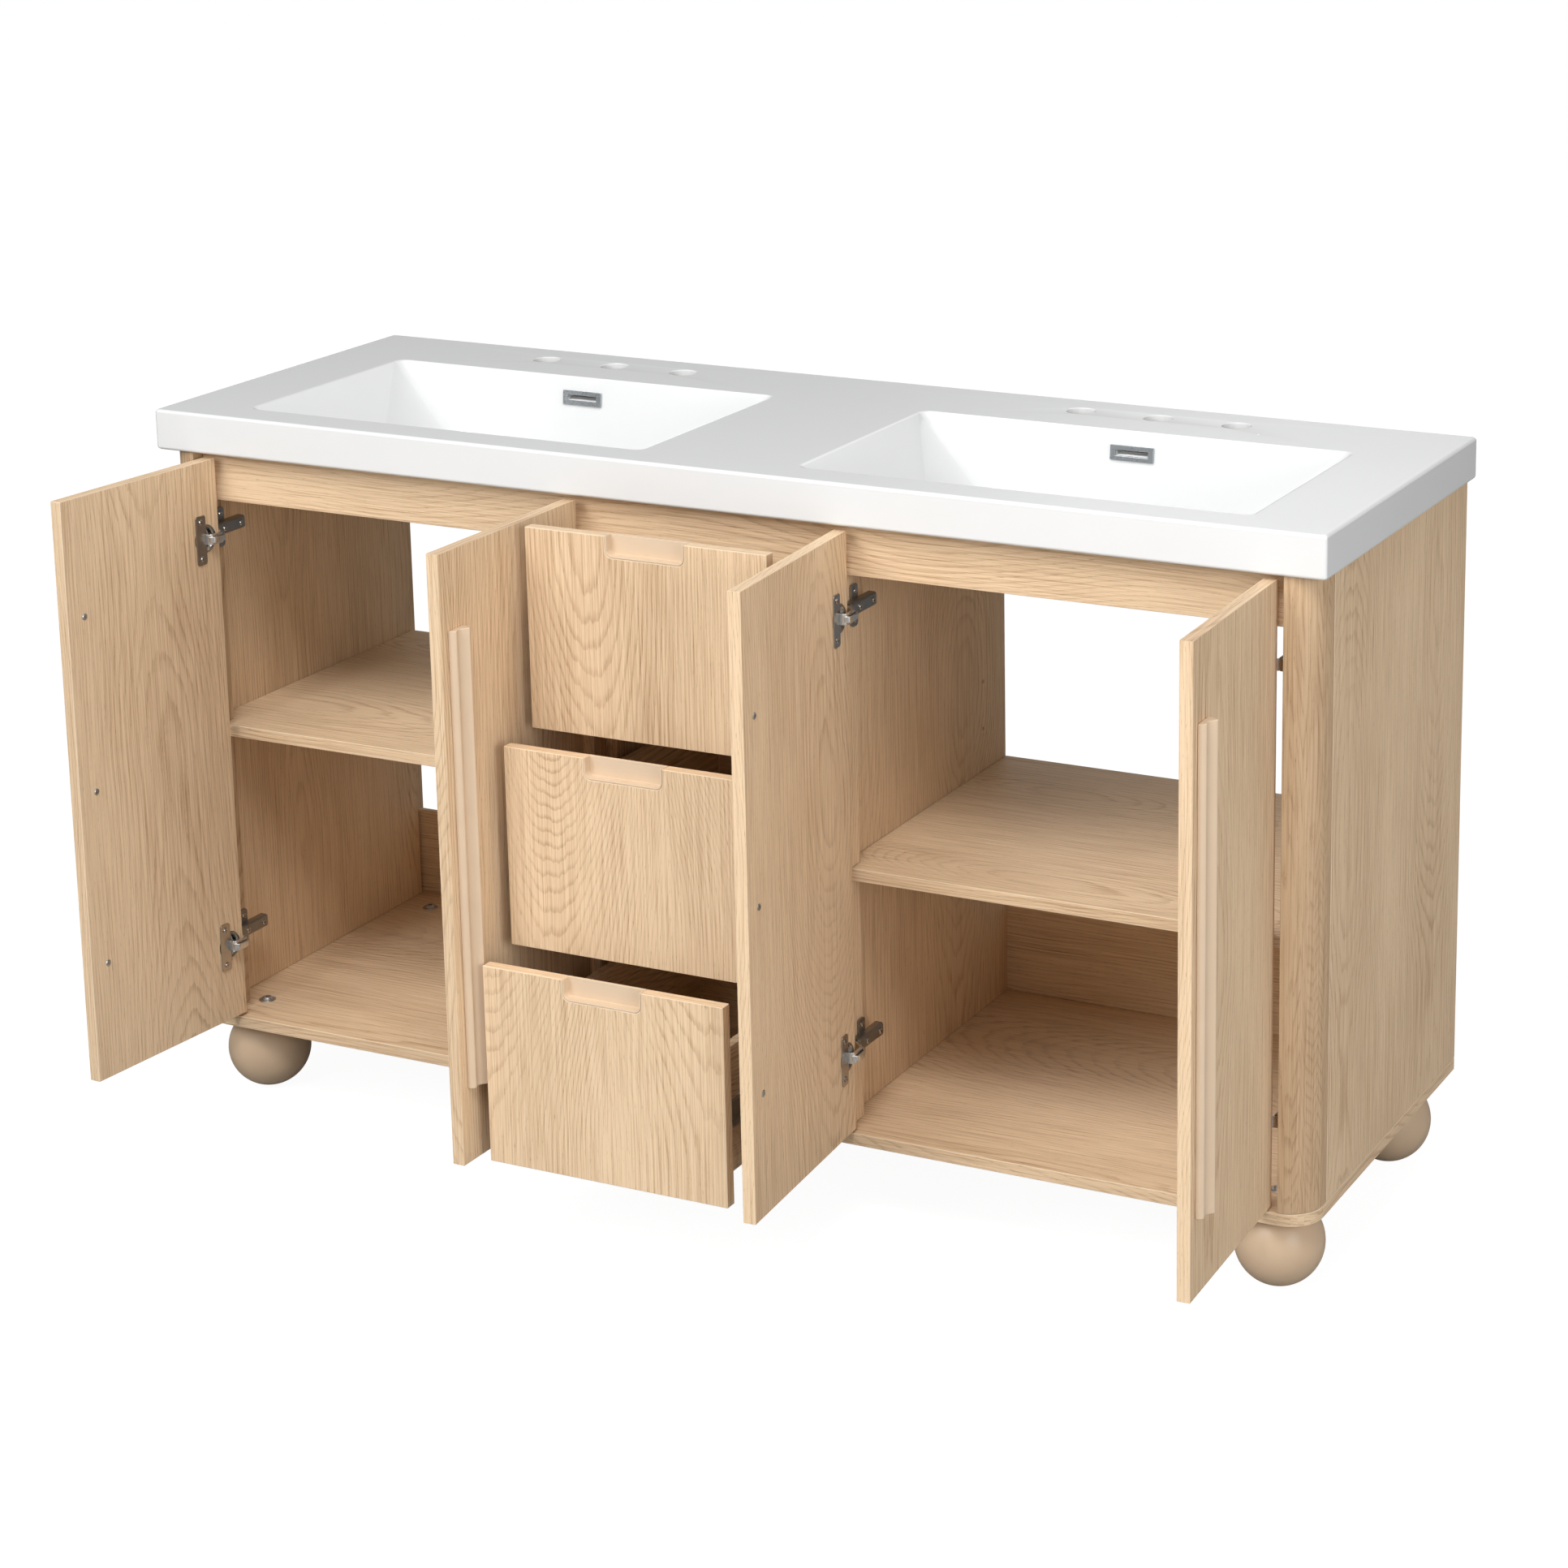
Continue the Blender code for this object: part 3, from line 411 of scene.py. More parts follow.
def new_object(name, mesh):
    made = bpy.data.objects.new(name, mesh)
    bpy.context.scene.collection.objects.link(made)
    return made


def finished(name, mesh, body, surface, slot=None, stands_for=()):
    """A piece in its place, with its surface, riding on its body."""
    if surface is not None:
        mesh.materials.clear()
        mesh.materials.append(finishes[surface].material)
    made = new_object(name, mesh)
    if body is not None:
        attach(made, body)
    if stands_for:
        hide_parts(*stands_for)
    return made


def cut(holder, cutters):
    """Takes the cutters out of the holder's shape, and returns the objects that hold them."""
    helpers = [new_object("cutter", cutter) for cutter in cutters]
    for helper in helpers:
        modifier = holder.modifiers.new("cut", "BOOLEAN")
        modifier.object = helper
        modifier.operation = "DIFFERENCE"
    return helpers


def evaluated(holder, helpers=()):
    """The holder's mesh with its modifiers applied. The holder and its helpers are removed."""
    graph = bpy.context.evaluated_depsgraph_get()
    mesh = bpy.data.meshes.new_from_object(holder.evaluated_get(graph))
    for spent in (holder, *helpers):
        bpy.data.objects.remove(spent)
    return mesh


def merged_copy(node):
    """A CAD node's mesh with its triangles joined and its flat faces whole."""
    bm = bmesh.new()
    bm.from_mesh(frame["nodes"][node].data)
    bmesh.ops.remove_doubles(bm, verts=bm.verts, dist=MERGE)
    bmesh.ops.dissolve_limit(bm, angle_limit=math.radians(0.3), verts=bm.verts, edges=bm.edges)
    mesh = bpy.data.meshes.new(node)
    bm.to_mesh(mesh)
    bm.free()
    return mesh


def rounded(mesh, width, segments=3, angle=40, cutters=()):
    """The mesh with its edges rounded. The narrow faces this makes are marked as banding."""
    mesh.materials.clear()
    mesh.materials.append(None)
    mesh.materials.append(None)
    mesh.polygons.foreach_set("material_index", [0] * len(mesh.polygons))
    mesh.shade_smooth()
    holder = new_object("holder", mesh)
    helpers = cut(holder, cutters)
    bevel = holder.modifiers.new("round", "BEVEL")
    bevel.width = width
    bevel.segments = segments
    bevel.limit_method = "ANGLE"
    bevel.angle_limit = math.radians(angle)
    bevel.material = 1
    holder.modifiers.new("weigh", "WEIGHTED_NORMAL").weight = FACE_WEIGHT
    result = evaluated(holder, helpers)
    mark = result.attributes.new(BANDING, "FLOAT", "FACE")
    mark.data.foreach_set("value", [float(face.material_index == 1) for face in result.polygons])
    result.polygons.foreach_set("material_index", [0] * len(result.polygons))
    return result


def map_grain(mesh, name, upright, level_direction):
    """Lays the grain on each face: up the faces of an upright board, or level along the others.

    Every board takes its own part of the pattern, the same on each run."""
    chance = random.Random(name)
    start = Vector((chance.uniform(0, 40), chance.uniform(0, 40)))
    level = Vector(level_direction).normalized()
    layer = mesh.uv_layers.new(name=GRAIN)
    for face in mesh.polygons:
        normal = face.normal
        if abs(normal.z) > 0.7:
            along, across = level, UP.cross(level)
        else:
            sideways = UP.cross(normal).normalized()
            along, across = (UP, sideways) if upright else (sideways, UP)
        for loop in face.loop_indices:
            point = mesh.vertices[mesh.loops[loop].vertex_index].co
            layer.data[loop].uv = start + Vector((point.dot(along), point.dot(across)))


def outline_rectangle(x0, x1, y0, y1, radius, steps):
    """A rectangle with round corners, anticlockwise from the front right corner."""
    corners = ((x1, y0, -1, 1, -90), (x1, y1, -1, -1, 0), (x0, y1, 1, -1, 90), (x0, y0, 1, 1, 180))
    points = []
    for x, y, inward_x, inward_y, start in corners:
        for i in range(steps + 1):
            turn = math.radians(start + 90 * i / steps)
            points.append(Vector((x + inward_x * radius + radius * math.cos(turn),
                                  y + inward_y * radius + radius * math.sin(turn))))
    return points


def outline_circle(centre, radius, steps):
    turns = [2 * math.pi * i / steps for i in range(steps)]
    return [Vector((centre[0] + radius * math.cos(t), centre[1] + radius * math.sin(t))) for t in turns]


def bridge(bm, *rings):
    """Faces between each two rings of as many points. Points that coincide make triangles."""
    for low, high in zip(rings, rings[1:]):
        for i in range(len(low)):
            j = (i + 1) % len(low)
            corners = []
            for vert in (low[i], low[j], high[j], high[i]):
                if all((vert.co - other.co).length > MERGE for other in corners):
                    corners.append(vert)
            if len(corners) > 2:
                bm.faces.new(corners)


def ring_at(bm, outline, z):
    return [bm.verts.new((p.x, p.y, z)) for p in outline]


def ring_edges(*rings):
    """The edges that run along rings of points."""
    found = []
    for ring in rings:
        for vert, other in zip(ring, ring[1:] + ring[:1]):
            found += [edge for edge in vert.link_edges if edge.other_vert(vert) is other]
    return found


def fill(bm, edges, up):
    """Flat faces between an outer loop of edges and the loops inside it."""
    bmesh.ops.triangle_fill(bm, use_beauty=True, edges=edges, normal=(0, 0, up))


def mesh_from(bm, name):
    bmesh.ops.remove_doubles(bm, verts=bm.verts, dist=MERGE)
    bmesh.ops.recalc_face_normals(bm, faces=bm.faces)
    mesh = bpy.data.meshes.new(name)
    bm.to_mesh(mesh)
    bm.free()
    mesh.shade_smooth()
    return mesh


def prism(name, outline, axis, start, end):
    """A solid along an axis. Its outline lies across the other two axes, in their order."""
    order = {"X": (2, 0, 1), "Y": (0, 2, 1), "Z": (0, 1, 2)}[axis]
    bm = bmesh.new()
    low, high = [[bm.verts.new([(u, v, w)[i] for i in order]) for u, v in outline] for w in (start, end)]
    bridge(bm, low, high)
    bm.faces.new(low)
    bm.faces.new(high)
    return mesh_from(bm, name)


def box_mesh(name, low, high):
    corners = ((low[0], low[1]), (high[0], low[1]), (high[0], high[1]), (low[0], high[1]))
    return prism(name, corners, "Z", low[2], high[2])


def turned(name, profile, centre, axis="Z", steps=48):
    """A solid of revolution from (radius, height) points. A radius of 0 closes an end."""
    bm = bmesh.new()
    bridge(bm, *[ring_at(bm, outline_circle((0, 0), radius, steps), height) for radius, height in profile])
    mesh = mesh_from(bm, name)
    if axis == "Y":
        mesh.transform(Matrix.Rotation(math.radians(-90), 4, "X"))
    mesh.transform(Matrix.Translation(centre))
    return mesh


def joined(name, meshes):
    """Several meshes as one, each still a body of its own."""
    bm = bmesh.new()
    for mesh in meshes:
        bm.from_mesh(mesh)
    made = bpy.data.meshes.new(name)
    bm.to_mesh(made)
    bm.free()
    return made


# Doors: their pieces are drawn closed, and then turned to where the door stands open

class Leaf:
    """A door: its pivot, the turns between its closed and open places, and which way it reaches."""

    def __init__(self, number):
        self.name = f"door_{number}"
        self.number = number
        self.body = f"door_{number}_body"
        joint = next(j for j in frame["joints"] if j["name"] == f"door_{number}_swing")
        self.pivot = Vector(joint["pos_m"])
        there = Matrix.Translation(self.pivot)
        turn = -math.radians(joint["range_deg"][0]) * joint["axis"][2]
        self.opened = there @ Matrix.Rotation(turn, 4, "Z") @ there.inverted()
        self.closed = self.opened.inverted()
        low, high = self.closed_box(self.name)
        self.face = high.y
        self.reach = 1 if abs(low.x - self.pivot.x) < abs(high.x - self.pivot.x) else -1

    def closed_box(self, node):
        points = [self.closed @ v.co for v in frame["nodes"][node].data.vertices]
        return [Vector([pick(p[i] for p in points) for i in range(3)]) for pick in (min, max)]

    def place(self, name, mesh, *rest):
        """Turns a piece that was drawn closed to the open door, and finishes it there."""
        mesh.transform(self.opened)
        return finished(name, mesh, self.body, *rest)


# Repeated fittings

def shape_tree(name, numbers):
    """A geometry tree with its inputs made, and what they give by name."""
    tree = bpy.data.node_groups.new(name, "GeometryNodeTree")
    inputs = [("Geometry", "Geometry")] + [(label, "Float") for label in numbers] + [("Surface", "Material")]
    for label, kind in inputs:
        tree.interface.new_socket(label, in_out="INPUT", socket_type=f"NodeSocket{kind}")
    tree.interface.new_socket("Geometry", in_out="OUTPUT", socket_type="NodeSocketGeometry")
    graph = Graph(tree)
    group = tree.nodes.new("NodeGroupInput")
    return graph, {socket.name: Socket(graph, socket) for socket in group.outputs}


def closed_tree(graph, shape, surface):
    """The tree, with the shape in its material going out of it."""
    done = graph.geometry("SetMaterial", Geometry=shape, Material=surface)
    graph.feed(graph.tree.nodes.new("NodeGroupOutput").inputs["Geometry"], done)
    return graph.tree


def make_screw_tree():
    """Cross-head screws on points, each with its head along the point's facing."""
    graph, given = shape_tree("screws", ("Head Diameter", "Head Height", "Recess"))
    wide, tall = given["Head Diameter"], given["Head Height"]
    radius, arm, thin = wide * 0.5, wide * given["Recess"], wide * 0.14

    def frustum(taper, share):
        return graph.geometry("MeshCone", Vertices=24, Radius_Top=radius * taper, Radius_Bottom=radius,
                              Depth=tall * share)

    def lifted(shape, lift):
        return graph.geometry("Transform", Geometry=shape, Translation=graph.vector(0.0, 0.0, lift))

    head = graph.geometry("MeshBoolean", {"operation": "UNION"}, Mesh_2=frustum(1.0, 0.45))
    graph.feed(head.socket.node.inputs["Mesh 2"], lifted(frustum(0.72, 0.55), tall * 0.45))
    bars = [lifted(graph.geometry("MeshCube", Size=graph.vector(*size)), tall)
            for size in ((arm, thin, tall), (thin, arm, tall))]
    crossed = graph.geometry("MeshBoolean", {"operation": "DIFFERENCE"}, Mesh_1=head, Mesh_2=bars[0])
    graph.feed(crossed.socket.node.inputs["Mesh 2"], bars[1])
    facing = graph.geometry("InputNamedAttribute", {"data_type": "FLOAT_VECTOR"}, Name="facing")
    turn = graph.node("FunctionNodeAlignRotationToVector", {"axis": "Z"}, {"Vector": facing})
    points = graph.geometry("MeshToPoints", Mesh=given["Geometry"])
    copies = graph.geometry("InstanceOnPoints", Points=points, Instance=crossed, Rotation=turn)
    real = graph.geometry("RealizeInstances", Geometry=copies)
    flat = graph.geometry("SetShadeSmooth", Geometry=real, Shade_Smooth=False)
    return closed_tree(graph, flat, given["Surface"])


def make_moulding_tree():
    """A closed section swept up a straight line, with its ends closed."""
    graph, given = shape_tree("moulding", ("Start", "End"))
    start, end = [graph.vector(0.0, 0.0, given[label]) for label in ("Start", "End")]
    line = graph.geometry("CurvePrimitiveLine", Start=start, End=end)
    section = graph.geometry("MeshToCurve", Mesh=given["Geometry"])
    swept = graph.geometry("CurveToMesh", Curve=line, Profile_Curve=section, Fill_Caps=True)
    real = graph.geometry("RealizeInstances", Geometry=swept)
    return closed_tree(graph, real, given["Surface"])


def grown(tree, mesh, values):
    """The mesh that a geometry tree makes of another mesh. values go to the inputs of their names."""
    holder = new_object("holder", mesh)
    modifier = holder.modifiers.new("grow", "NODES")
    modifier.node_group = tree
    for item in tree.interface.items_tree:
        if item.name in values:
            modifier[item.identifier] = values[item.name]
    return evaluated(holder)


def screws(name, places, diameter, height, recess, surface):
    """One mesh of screws. places are pairs of a point and the direction its head faces."""
    points = bpy.data.meshes.new(name)
    points.from_pydata([tuple(p) for p, _ in places], [], [])
    facing = points.attributes.new("facing", "FLOAT_VECTOR", "POINT")
    facing.data.foreach_set("vector", [c for _, direction in places for c in direction])
    tree = bpy.data.node_groups.get("screws") or make_screw_tree()
    return grown(tree, points, {"Head Diameter": diameter, "Head Height": height, "Recess": recess,
                                "Surface": finishes[surface].material})


# Operators

class VANITY_OT_finishes(bpy.types.Operator):
    """Makes the surfaces of all pieces"""
    bl_idname = "vanity.finishes"
    bl_label = "Finishes"

    def execute(self, context):
        board, hinge = sizes("vanity_board"), sizes("vanity_hinge")
        finishes["resin"] = make_resin(sizes("vanity_top"))
        finishes["oak"] = make_oak("oak_laminate", board, (1, 1, 1))
        # A darker copy of the oak for the corner posts: painted shade
        finishes["painted_shade_post_oak"] = make_oak("oak_veneer", board, board.post)
        finishes["feet"] = make_paint("feet_paint", board.feet)
        finishes["trim"] = make_paint("trim_paint", board.trim)
        finishes["nickel"] = make_metal("nickel_plate", hinge.nickel, 0.16, 0.15)
        finishes["bright_nickel"] = make_metal("bright_nickel_plate", hinge.bright, 0.2, 0.15)
        finishes["dark_nickel"] = make_metal("dark_nickel_plate", hinge.dark, 0.24, 0.15)
        finishes["zinc"] = make_metal("zinc_plate", hinge.zinc, 0.3, 0.3)
        finishes["chrome"] = make_metal("satin_chrome", hinge.chrome, 0.2, 0.3)
        return {"FINISHED"}


def basin_rings(top, centre, front, back, grow):
    """The rim of a basin and its floor, point for point. A grow above 0 gives the shell's outside."""
    half = (CAD_BOX[1].x - top.side_margin - top.spacing / 2) / 2 + grow
    left, right = centre - half, centre + half
    near, far = front + top.wall_run - grow, back - top.wall_run + grow
    rim = outline_rectangle(left, right, front - grow, back + grow, top.rim_radius + grow, BASIN_STEPS)
    floor = []
    for i, point in enumerate(outline_rectangle(left, right, near, far, top.floor_radius, BASIN_STEPS)):
        side = 1 if i < 2 * (BASIN_STEPS + 1) else -1
        share = (point.y - near) / (far - near)
        run = top.ramp_front + share * (top.ramp_back - top.ramp_front)
        floor.append(Vector((point.x - side * run, point.y)))
    return rim, floor


def sample_fold(rim, floor):
    """Pairs of points down the basin's walls, with a fan of them on each side ramp.

    The rim's side runs to the floor's front corner, and the rim's back corner to the floor's side."""
    quarter = len(rim) // 4
    pairs, fans = list(zip(rim, floor)), []
    for front, back in ((quarter - 1, quarter), (3 * quarter, 3 * quarter - 1)):
        fan = [(rim[front].lerp(rim[back], i / FAN_STEPS), floor[front]) for i in range(1, FAN_STEPS)]
        fan += [(rim[back], floor[front].lerp(floor[back], i / FAN_STEPS)) for i in range(FAN_STEPS)]
        fans.append(fan)
    return pairs[:quarter] + fans[0] + pairs[quarter:3 * quarter] + fans[1][::-1] + pairs[3 * quarter:]


class VANITY_OT_top(bpy.types.Operator):
    """Casts the top with its two basins, faucet holes and overflow slots"""
    bl_idname = "vanity.top"
    bl_label = "Cast Top"

    def execute(self, context):
        top = sizes("vanity_top")
        low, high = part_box("vanity_top")
        mesh = cut_overflows(top, cast_slab(top, low, high), high)
        finished("cast_top", mesh, CABINET, "resin", "cast_resin", ["vanity_top"])
        return {"FINISHED"}


def rounding(start, corner, end, steps):
    """Points along a smooth turn from start to end, drawn towards corner."""
    points = []
    for i in range(steps + 1):
        t = i / steps
        points.append(start * (1 - t) ** 2 + corner * (2 * t * (1 - t)) + end * t ** 2)
    return points


def towards(start, end, distance):
    step = end - start
    share = distance / step.length if step.length > 0 else 0
    return start + step * min(share, 0.45)


def basin_section(rim, floor, centre, level, floor_level, top):
    """The points down one line of a basin, from the flat top round the rim, down, and on to the floor."""
    edge = Vector((rim.x, rim.y, level))
    foot = Vector((floor.x, floor.y, floor_level))
    outward = (rim - centre).normalized()
    inward = (Vector((centre.x, centre.y)) - floor).normalized()
    lip = edge + Vector((outward.x, outward.y, 0)) * top.rim_round
    toe = foot + Vector((inward.x, inward.y, 0)) * top.floor_round
    return (rounding(lip, edge, towards(edge, foot, top.rim_round), 4)
            + rounding(towards(foot, edge, top.floor_round), foot, toe, 6))


def cast_slab(top, low, high):
    """The slab with its basins, drains and faucet holes."""
    bm = bmesh.new()
    level, under = high.z, high.z - top.thickness
    turns = [math.radians(22.5 * i) for i in range(5)]
    section = [(1 - math.cos(t), under + top.edge * (1 - math.sin(t))) for t in turns[::-1]]
    section += [(1 - math.cos(t), level - top.edge * (1 - math.sin(t))) for t in turns]
    rings = []
    for inset, z in [(top.edge * share, z) for share, z in section]:
        outline = outline_rectangle(low.x + inset, high.x - inset, low.y + inset, high.y - inset, top.edge, 5)
        rings.append(ring_at(bm, outline, z))
    bridge(bm, *rings)
    for side in SIDES.values():
        x = side * (high.x - top.side_margin + top.spacing / 2) / 2
        form_basin(bm, top, x, low, high)
        for step in (-1, 0, 1):
            hole = (x + step * top.faucet_pitch, high.y - top.faucet_back)
            radius = top.faucet_hole / 2
            bridge(bm, *[ring_at(bm, outline_circle(hole, radius + wider, HOLE_STEPS), z)
                         for wider, z in ((HOLE_LIP, level), (0, level - HOLE_LIP), (0, under))])
    bmesh.ops.remove_doubles(bm, verts=bm.verts, dist=MERGE)
    for z, up in ((level, 1), (under, -1)):
        fill(bm, [e for e in bm.edges if e.is_boundary and all(abs(v.co.z - z) < MERGE for v in e.verts)], up)
    return mesh_from(bm, "cast_top")


def form_basin(bm, top, x, low, high):
    """One basin: its inside down to the drain, and its shell from the underside."""
    level, under, floor_level = high.z, high.z - top.thickness, high.z - top.depth
    shell_level = floor_level - top.shell
    front, back = low.y + top.front_margin, high.y - top.back_margin
    middle = Vector((x, (front + back) / 2))
    pairs = sample_fold(*basin_rings(top, x, front, back, 0))
    sections = [basin_section(rim, floor, middle, level, floor_level, top) for rim, floor in pairs]
    rings = [[bm.verts.new(section[k]) for section in sections] for k in range(len(sections[0]))]
    bridge(bm, *rings)
    drain, drain_foot = [ring_at(bm, outline_circle(middle, top.drain / 2, HOLE_STEPS), z)
                         for z in (floor_level, shell_level)]
    bridge(bm, drain, drain_foot)
    fill(bm, ring_edges(rings[-1], drain), 1)
    rim, floor = basin_rings(top, x, front, back, top.shell)
    share = (level - under) / (level - shell_level)
    collar = ring_at(bm, [r.lerp(f, share) for r, f in zip(rim, floor)], under)
    shell = ring_at(bm, floor, shell_level)
    bridge(bm, collar, shell)
    fill(bm, ring_edges(shell, drain_foot), -1)


def cut_overflows(top, mesh, high):
    """The slot in each basin's back wall, its way down behind the bowl, and even shading."""
    holder = new_object("holder", mesh)
    blocks = []
    for side in SIDES:
        cover_low, cover_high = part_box(f"overflow_cover_{side}")
        x, _, z = (cover_low + cover_high) / 2
        half, tall = top.slot_width / 2, top.slot_height
        end = high.y - top.back_margin + SLOT_REACH
        blocks.append(box_mesh("slot", (x - half, cover_low.y, z - tall / 2), (x + half, end, z + tall / 2)))
        blocks.append(box_mesh("drop", (x - half + MM, end - tall, high.z - top.thickness - SLOT_DROP),
                               (x + half - MM, end - SLOT_STEP, z)))
    helpers = cut(holder, blocks)
    holder.modifiers.new("weigh", "WEIGHTED_NORMAL").weight = FACE_WEIGHT
    return evaluated(holder, helpers)


class VANITY_OT_overflows(bpy.types.Operator):
    """Frames each overflow slot and puts its strainer bar in"""
    bl_idname = "vanity.overflows"
    bl_label = "Overflow Covers"

    def execute(self, context):
        half = sizes("vanity_top").slot_width / 2 - MM
        for side in SIDES:
            node = f"overflow_cover_{side}"
            mesh = rounded(merged_copy(node), 0.7 * MM)
            finished(f"overflow_frame_{side}", mesh, CABINET, "chrome", "brushed_chrome", [node])
            low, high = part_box(node)
            x, _, z = (low + high) / 2
            bar = box_mesh("bar", (x - half, high.y + BAR_DEPTHS[0], z - BAR_HALF),
                           (x + half, high.y + BAR_DEPTHS[1], z + BAR_HALF))
            finished(f"overflow_bar_{side}", rounded(bar, 0.4 * MM), CABINET, "dark_nickel", "brushed_chrome")
        return {"FINISHED"}


LEVEL_BOARDS = ("base_board", "front_rail", "back_rail", "back_panel", "shelf")
UPRIGHT_BOARDS = ("corner_post", "side_panel", "divider_stile", "divider")


def pin_places(board, shelf_low, shelf_high):
    """Where a shelf's pins are: four points under it, at both walls, front and back."""
    return [(Vector((x, y, shelf_low.z)), facing)
            for y in (shelf_low.y + board.pin_inset, shelf_high.y - board.pin_inset)
            for x, facing in ((shelf_low.x, 1), (shelf_high.x, -1))]


def pin_hole_cutters(board, node, word):
    """Cutters for the free pin holes that a divider shows above its shelf."""
    low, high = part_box(node)
    shelf_low, shelf_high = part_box(f"shelf_{word}")
    middle = (shelf_low + shelf_high) / 2
    face, inward = (high.x, -1) if (low.x + high.x) / 2 < middle.x else (low.x, 1)
    start, end = sorted((face - inward * MM, face + inward * PIN_HOLE_DEPTH))
    cutters = []
    for step in (1, 2):
        at = (shelf_high.y - board.pin_inset, middle.z + step * board.pin_pitch)
        cutters.append(prism("pin_hole", outline_circle(at, board.pin_hole / 2, 16), "X", start, end))
    return cutters


class VANITY_OT_boards(bpy.types.Operator):
    """Lays the laminate on the carcass boards and drills the shelf-pin holes"""
    bl_idname = "vanity.boards"
    bl_label = "Carcass Boards"

    def execute(self, context):
        board = sizes("vanity_board")
        for node in sorted(frame["nodes"]):
            kind = node.removesuffix("_left").removesuffix("_right")
            if kind not in LEVEL_BOARDS + UPRIGHT_BOARDS:
                continue
            cutters = []
            if kind == "divider":
                cutters = [joined("pin_holes", pin_hole_cutters(board, node, node.rsplit("_", 1)[1]))]
            mesh = rounded(merged_copy(node), board.edge, cutters=cutters)
            upright = kind in UPRIGHT_BOARDS
            map_grain(mesh, node, upright, (0, 1, 0) if upright else (1, 0, 0))
            # The corner posts take the darker copy of the oak, which is painted shade
            surface = "painted_shade_post_oak" if kind == "corner_post" else "oak"
            finished(f"{node}_laminated", mesh, CABINET, surface, "oak_laminate", [node])
        return {"FINISHED"}


class VANITY_OT_feet(bpy.types.Operator):
    """Turns the four ball feet"""
    bl_idname = "vanity.feet"
    bl_label = "Ball Feet"

    def execute(self, context):
        for node in FEET:
            low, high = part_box(node)
            x, y, _ = (low + high) / 2
            radius = (high.x - low.x) / 2
            centre = math.sqrt(radius ** 2 - FOOT_FLAT ** 2)
            start, end = math.asin(-centre / radius), math.asin((high.z - centre) / radius)
            turns = [start + (end - start) * i / FOOT_STEPS for i in range(FOOT_STEPS + 1)]
            profile = [(radius * math.cos(t), centre + radius * math.sin(t)) for t in turns]
            profile = [(0, 0), (FOOT_FLAT - MM, 0)] + profile + [(0, profile[-1][1])]
            mesh = turned(node, profile, Vector((x, y, 0)), steps=72)
            finished(f"{node}_painted", mesh, CABINET, "feet", "beige_paint", [node])
        return {"FINISHED"}


def handle_section(width, rise):
    """The handle's section as (across, rise): a bead, a finger cove and a taller ridge."""
    points = [(0.0, 0.0)]
    for i in range(1, HANDLE_STEPS):
        share = (1 - math.cos(math.pi * i / HANDLE_STEPS)) / 2
        bead, ridge = [math.exp(-((share - at) / wide) ** 2) for at, wide in (HANDLE_BEAD, HANDLE_RIDGE)]
        arch = math.sin(math.pi * share)
        swell = max((HANDLE_BEAD_RISE - HANDLE_COVE_RISE) * bead, (rise - HANDLE_COVE_RISE) * ridge)
        points.append((width * share, HANDLE_COVE_RISE * arch ** 0.2 + swell * arch ** 0.15))
    return points + [(width, 0.0)]


class VANITY_OT_doors(bpy.types.Operator):
    """Lays the laminate on the doors and fits their handles"""
    bl_idname = "vanity.doors"
    bl_label = "Doors"

    def execute(self, context):
        board = sizes("vanity_board")
        for number in DOORS:
            leaf = Leaf(number)
            mesh = merged_copy(leaf.name)
            mesh.transform(leaf.closed)
            mesh = rounded(mesh, board.edge)
            map_grain(mesh, leaf.name, True, (1, 0, 0))
            leaf.place(f"{leaf.name}_laminated", mesh, "oak", "oak_laminate", [leaf.name])
            self.fit_handle(leaf)
        return {"FINISHED"}

    def fit_handle(self, leaf):
        node = f"door_handle_{leaf.number}"
        low, high = leaf.closed_box(node)
        free = high.x if leaf.reach > 0 else low.x
        points = [(free - leaf.reach * across, high.y - rise, 0)
                  for across, rise in handle_section(high.x - low.x, high.y - low.y)]
        count = len(points)
        outline = bpy.data.meshes.new("handle_section")
        outline.from_pydata(points, [(i, (i + 1) % count) for i in range(count)], [])
        tree = bpy.data.node_groups.get("moulding") or make_moulding_tree()
        swept = grown(tree, outline, {"Start": low.z, "End": high.z, "Surface": finishes["trim"].material})
        bm = bmesh.new()
        bm.from_mesh(swept)
        mesh = rounded(mesh_from(bm, node), 0.8 * MM)
        leaf.place(f"{node}_painted", mesh, "trim", "beige_paint", [node])


# Hinge parts

# A cup's section is in millimetres, as (radius, height over the door's inner face)
CUP_RADIUS = 17.5 * MM
CUP_SECTION = ((0, -11.1), (15.5, -11.1), (17.1, -9.5), (17.1, 0), (17.1, 0.9), (16.4, 1.4), (14.8, 0.9),
               (14.2, -6.5), (11.8, -9.5), (0, -9.5))
# How far a cup's wing plate reaches from the cup's centre, and how far it is off the door
WING_REACH = 17 * MM
WING_LIFT = 0.3 * MM
SCREW_INSET = 8 * MM
# The plate on the wall, measured back from the arm's front end
PLATE_BACK = 30.7 * MM
PLATE_WIDTH = 15 * MM
PLATE_RISE = 3 * MM
# The arm is a folded channel with its open side to the wall
ARM_HALF = 8 * MM
ARM_SKIN = 1.4 * MM
ARM_FOOT = 1.2 * MM
ARM_BEND = 2 * MM
ARM_INNER_BEND = 2.6 * MM
ARM_SCREWS = (20 * MM, 52 * MM)
RIB_HALF = 6 * MM
# Each link's half width, thickness, height over the door and distance from the wall
LINKS = ((6.6 * MM, 3.6 * MM, 9 * MM, 7.5 * MM), (3.6 * MM, 2.4 * MM, 13.5 * MM, 10 * MM))
LINK_FLOOR = -6 * MM
LINK_PAST_EDGE = -22 * MM
LINK_KNUCKLE = -1.5 * MM
LINK_END = (5 * MM, 14 * MM)


